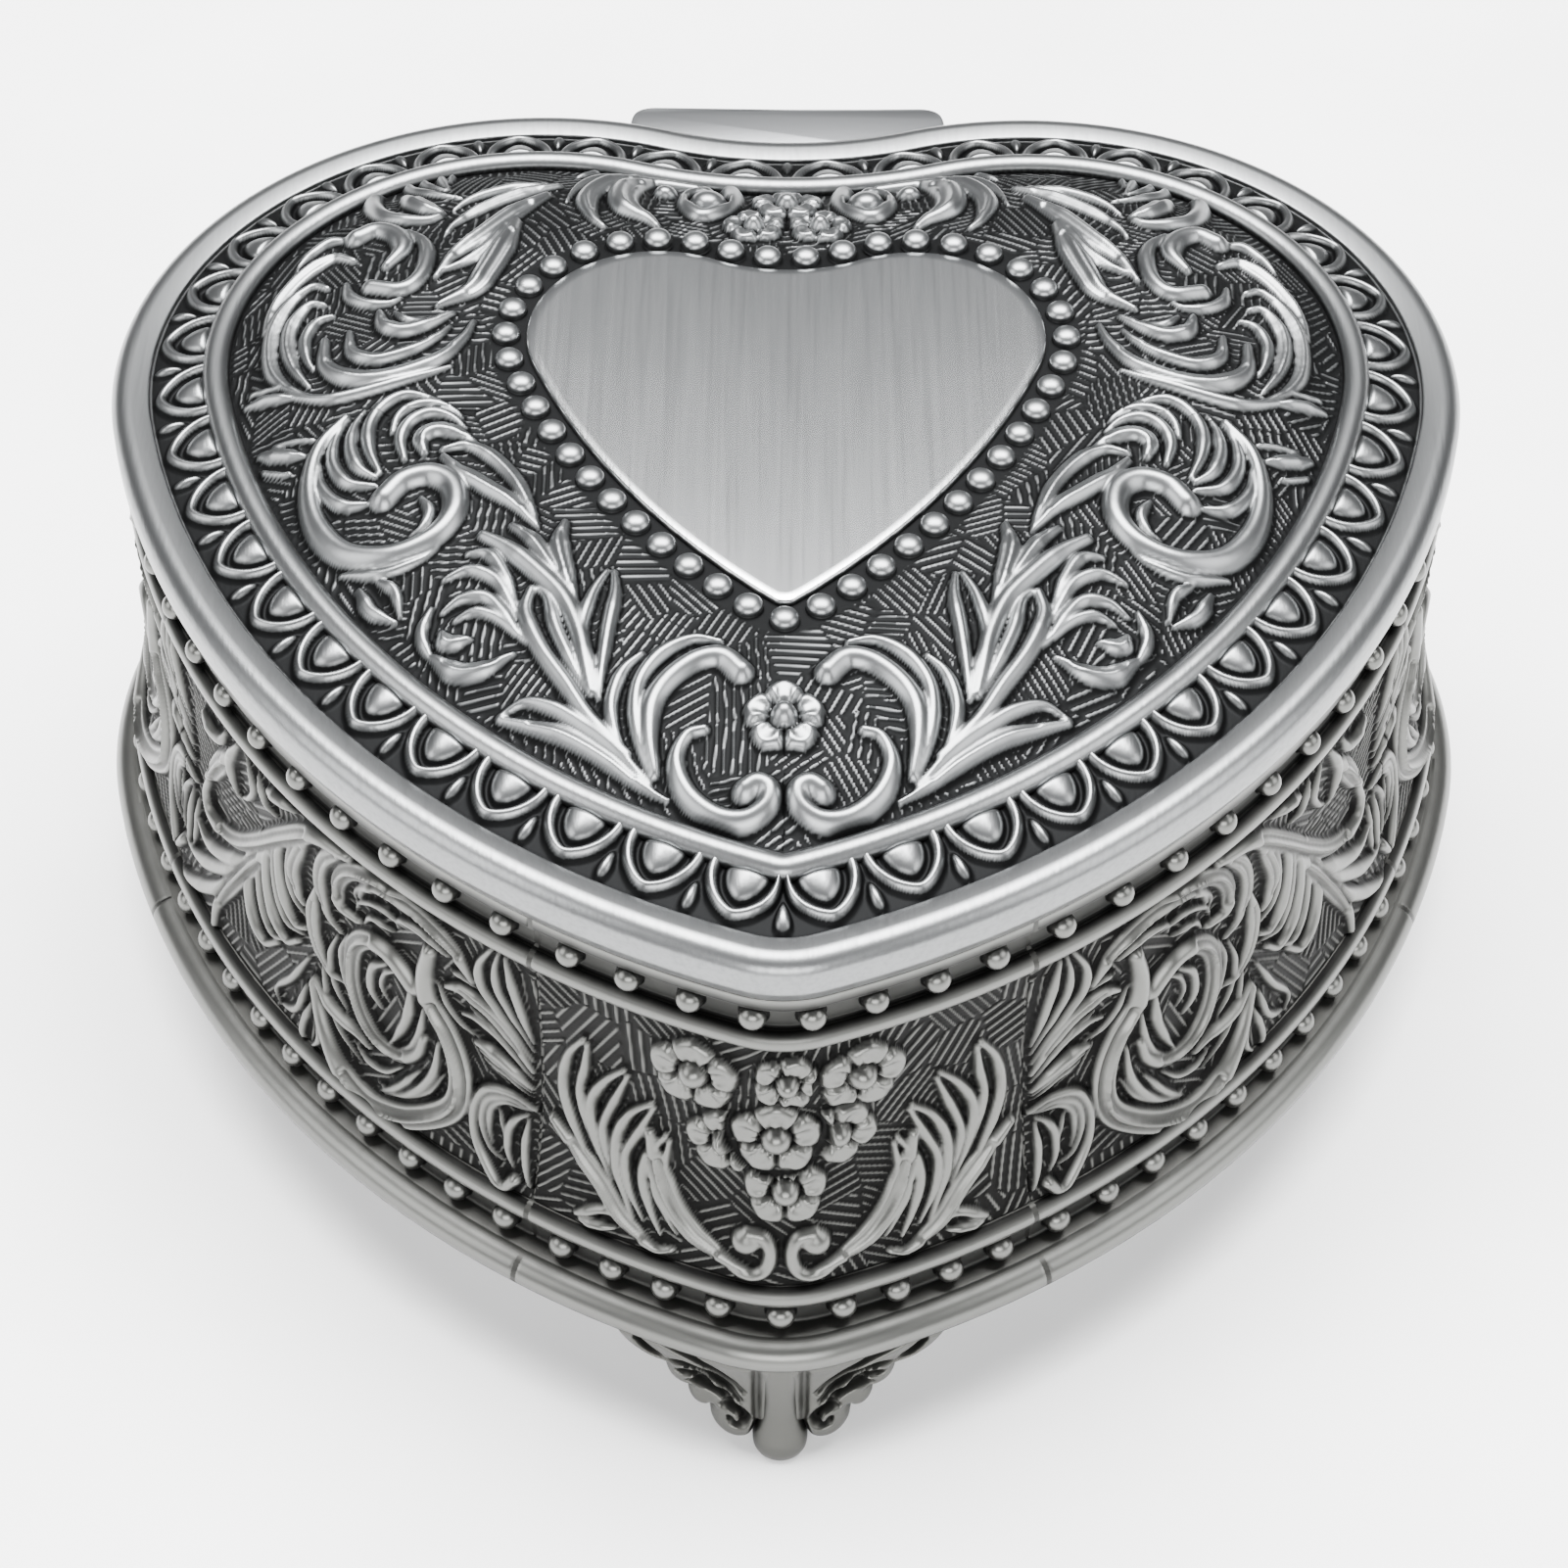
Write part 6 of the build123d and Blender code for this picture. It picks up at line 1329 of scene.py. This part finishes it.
# ---- the pieces -------------------------------------------------------------------------
for pieces, metal in (
    (lid_ring(), RIM_METAL),
    (lid_dome(), LID_METAL),
    ([heart_plate()], PLATE_METAL),
    ([plate_beads()], LID_METAL),
    (lid_tab(), TAB_METAL),
):
    for piece in pieces:
        dress(piece, metal)
        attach(piece, "lid")
        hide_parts("lid_shell")

wall_pieces = walls()
for side, start, end, low_pitch, top_pitch in (
    ("front", -SEAM + 0.6, SEAM - 0.6, 4.0, 4.5),
    ("left", -OUTER.half, -SEAM, 4.3, 4.9),
    ("right", SEAM, OUTER.half, 4.3, 4.9),
):
    low = bead_row(
        f"wall_beads_low_{side}", start, end, low_pitch, offset=0.9, z=13.7, radius=1.02, rise=1.35
    )
    top = bead_row(
        f"wall_beads_top_{side}", start, end, top_pitch, offset=-1.5, z=43.05, radius=0.95, rise=1.3
    )
    wall_pieces += [low, top]
for piece in wall_pieces:
    dress(piece, SHADED_CASE_METAL)
    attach(piece, "case")

for piece, node in feet():
    dress(piece, SHADED_FOOT_METAL)
    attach(piece, "case")
    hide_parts(node)
for piece, node, body in (
    (velvet_tray(), "velvet_tray", "case"),
    (lid_cushion(), "lid_pad", "lid"),
    (upper_lining(), "wall_lining", "case"),
    (covered_partition(), "partition", "case"),
):
    dress(piece, VELVET)
    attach(piece, body)
    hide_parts(node)

for part in frame["record"]["subparts"]:
    dress(frame["nodes"][part["node"]], METALS[part["material_slot"]])
for name in ("wall_front", "wall_left", "wall_right"):
    dress(frame["nodes"][name], INNER_METAL)

# ---- stage ------------------------------------------------------------------------------
bpy.ops.mesh.primitive_plane_add(size=6.0, location=(0, 0, 0))
floor = bpy.context.object
floor.name = "studio_floor"
paper = simple("studio paper", (0.86, 0.86, 0.86), 0.0, 0.9, 30.0, 0.0)
dress(floor, paper)


def softbox(name, place, aim, size, power):
    """Rectangular light at a place, turned toward aim."""
    light = bpy.data.lights.new(name, "AREA")
    light.shape = "RECTANGLE"
    light.size, light.size_y = size
    light.energy = power
    obj = bpy.data.objects.new(name, light)
    obj.location = place
    direction = np.array(aim, float) - np.array(place, float)
    obj.rotation_euler = Vector(direction).to_track_quat("-Z", "Y").to_euler()
    bpy.context.scene.collection.objects.link(obj)
    return obj


for side, place, aim, size, power in (
    ("top", (0.0, 0.15, 0.8), (0, 0, 0.03), (0.85, 0.42), 46.0),
    ("left", (-0.7, -0.25, 0.4), (0, 0, 0.03), (0.5, 0.5), 6.0),
    ("right", (0.7, -0.25, 0.4), (0, 0, 0.03), (0.5, 0.5), 5.5),
    ("back", (0.0, 0.43, 0.76), (0, 0, 0.055), (0.6, 0.1), 2.5),
    ("front", (0.0, -0.8, 0.35), (0, 0, 0.02), (0.7, 0.3), 10.0),
):
    softbox(f"softbox_{side}", place, aim, size, power)
world = bpy.data.worlds.new("studio")
bpy.context.scene.world = world
world.use_nodes = True
sky = world.node_tree.nodes["Background"].inputs
sky["Color"].default_value = (0.9, 0.92, 0.95, 1)
sky["Strength"].default_value = 0.24

# ---- camera -----------------------------------------------------------------------------
ELEVATION = 0.8029
ROLL = 0.0057
DISTANCE = 0.3
TARGET = (0.0, -0.00495, 0.0296)
lens = bpy.data.cameras.new("photo camera")
lens.sensor_width = 36.0
lens.lens = 92.45
lens.shift_y = -0.0287
lens.dof.use_dof = False
camera = bpy.data.objects.new("photo camera", lens)
bpy.context.scene.collection.objects.link(camera)
toward = np.array((0.0, -math.cos(ELEVATION), math.sin(ELEVATION)))
right = np.cross(-toward, (0.0, 0.0, 1.0))
right /= np.linalg.norm(right)
above = np.cross(toward, right)
rolled_right = right * math.cos(ROLL) + above * math.sin(ROLL)
rolled_above = above * math.cos(ROLL) - right * math.sin(ROLL)
turned = Matrix(np.column_stack([rolled_right, rolled_above, toward]).tolist()).to_4x4()
camera.matrix_world = Matrix.Translation(np.array(TARGET) + DISTANCE * toward) @ turned
bpy.context.scene.camera = camera
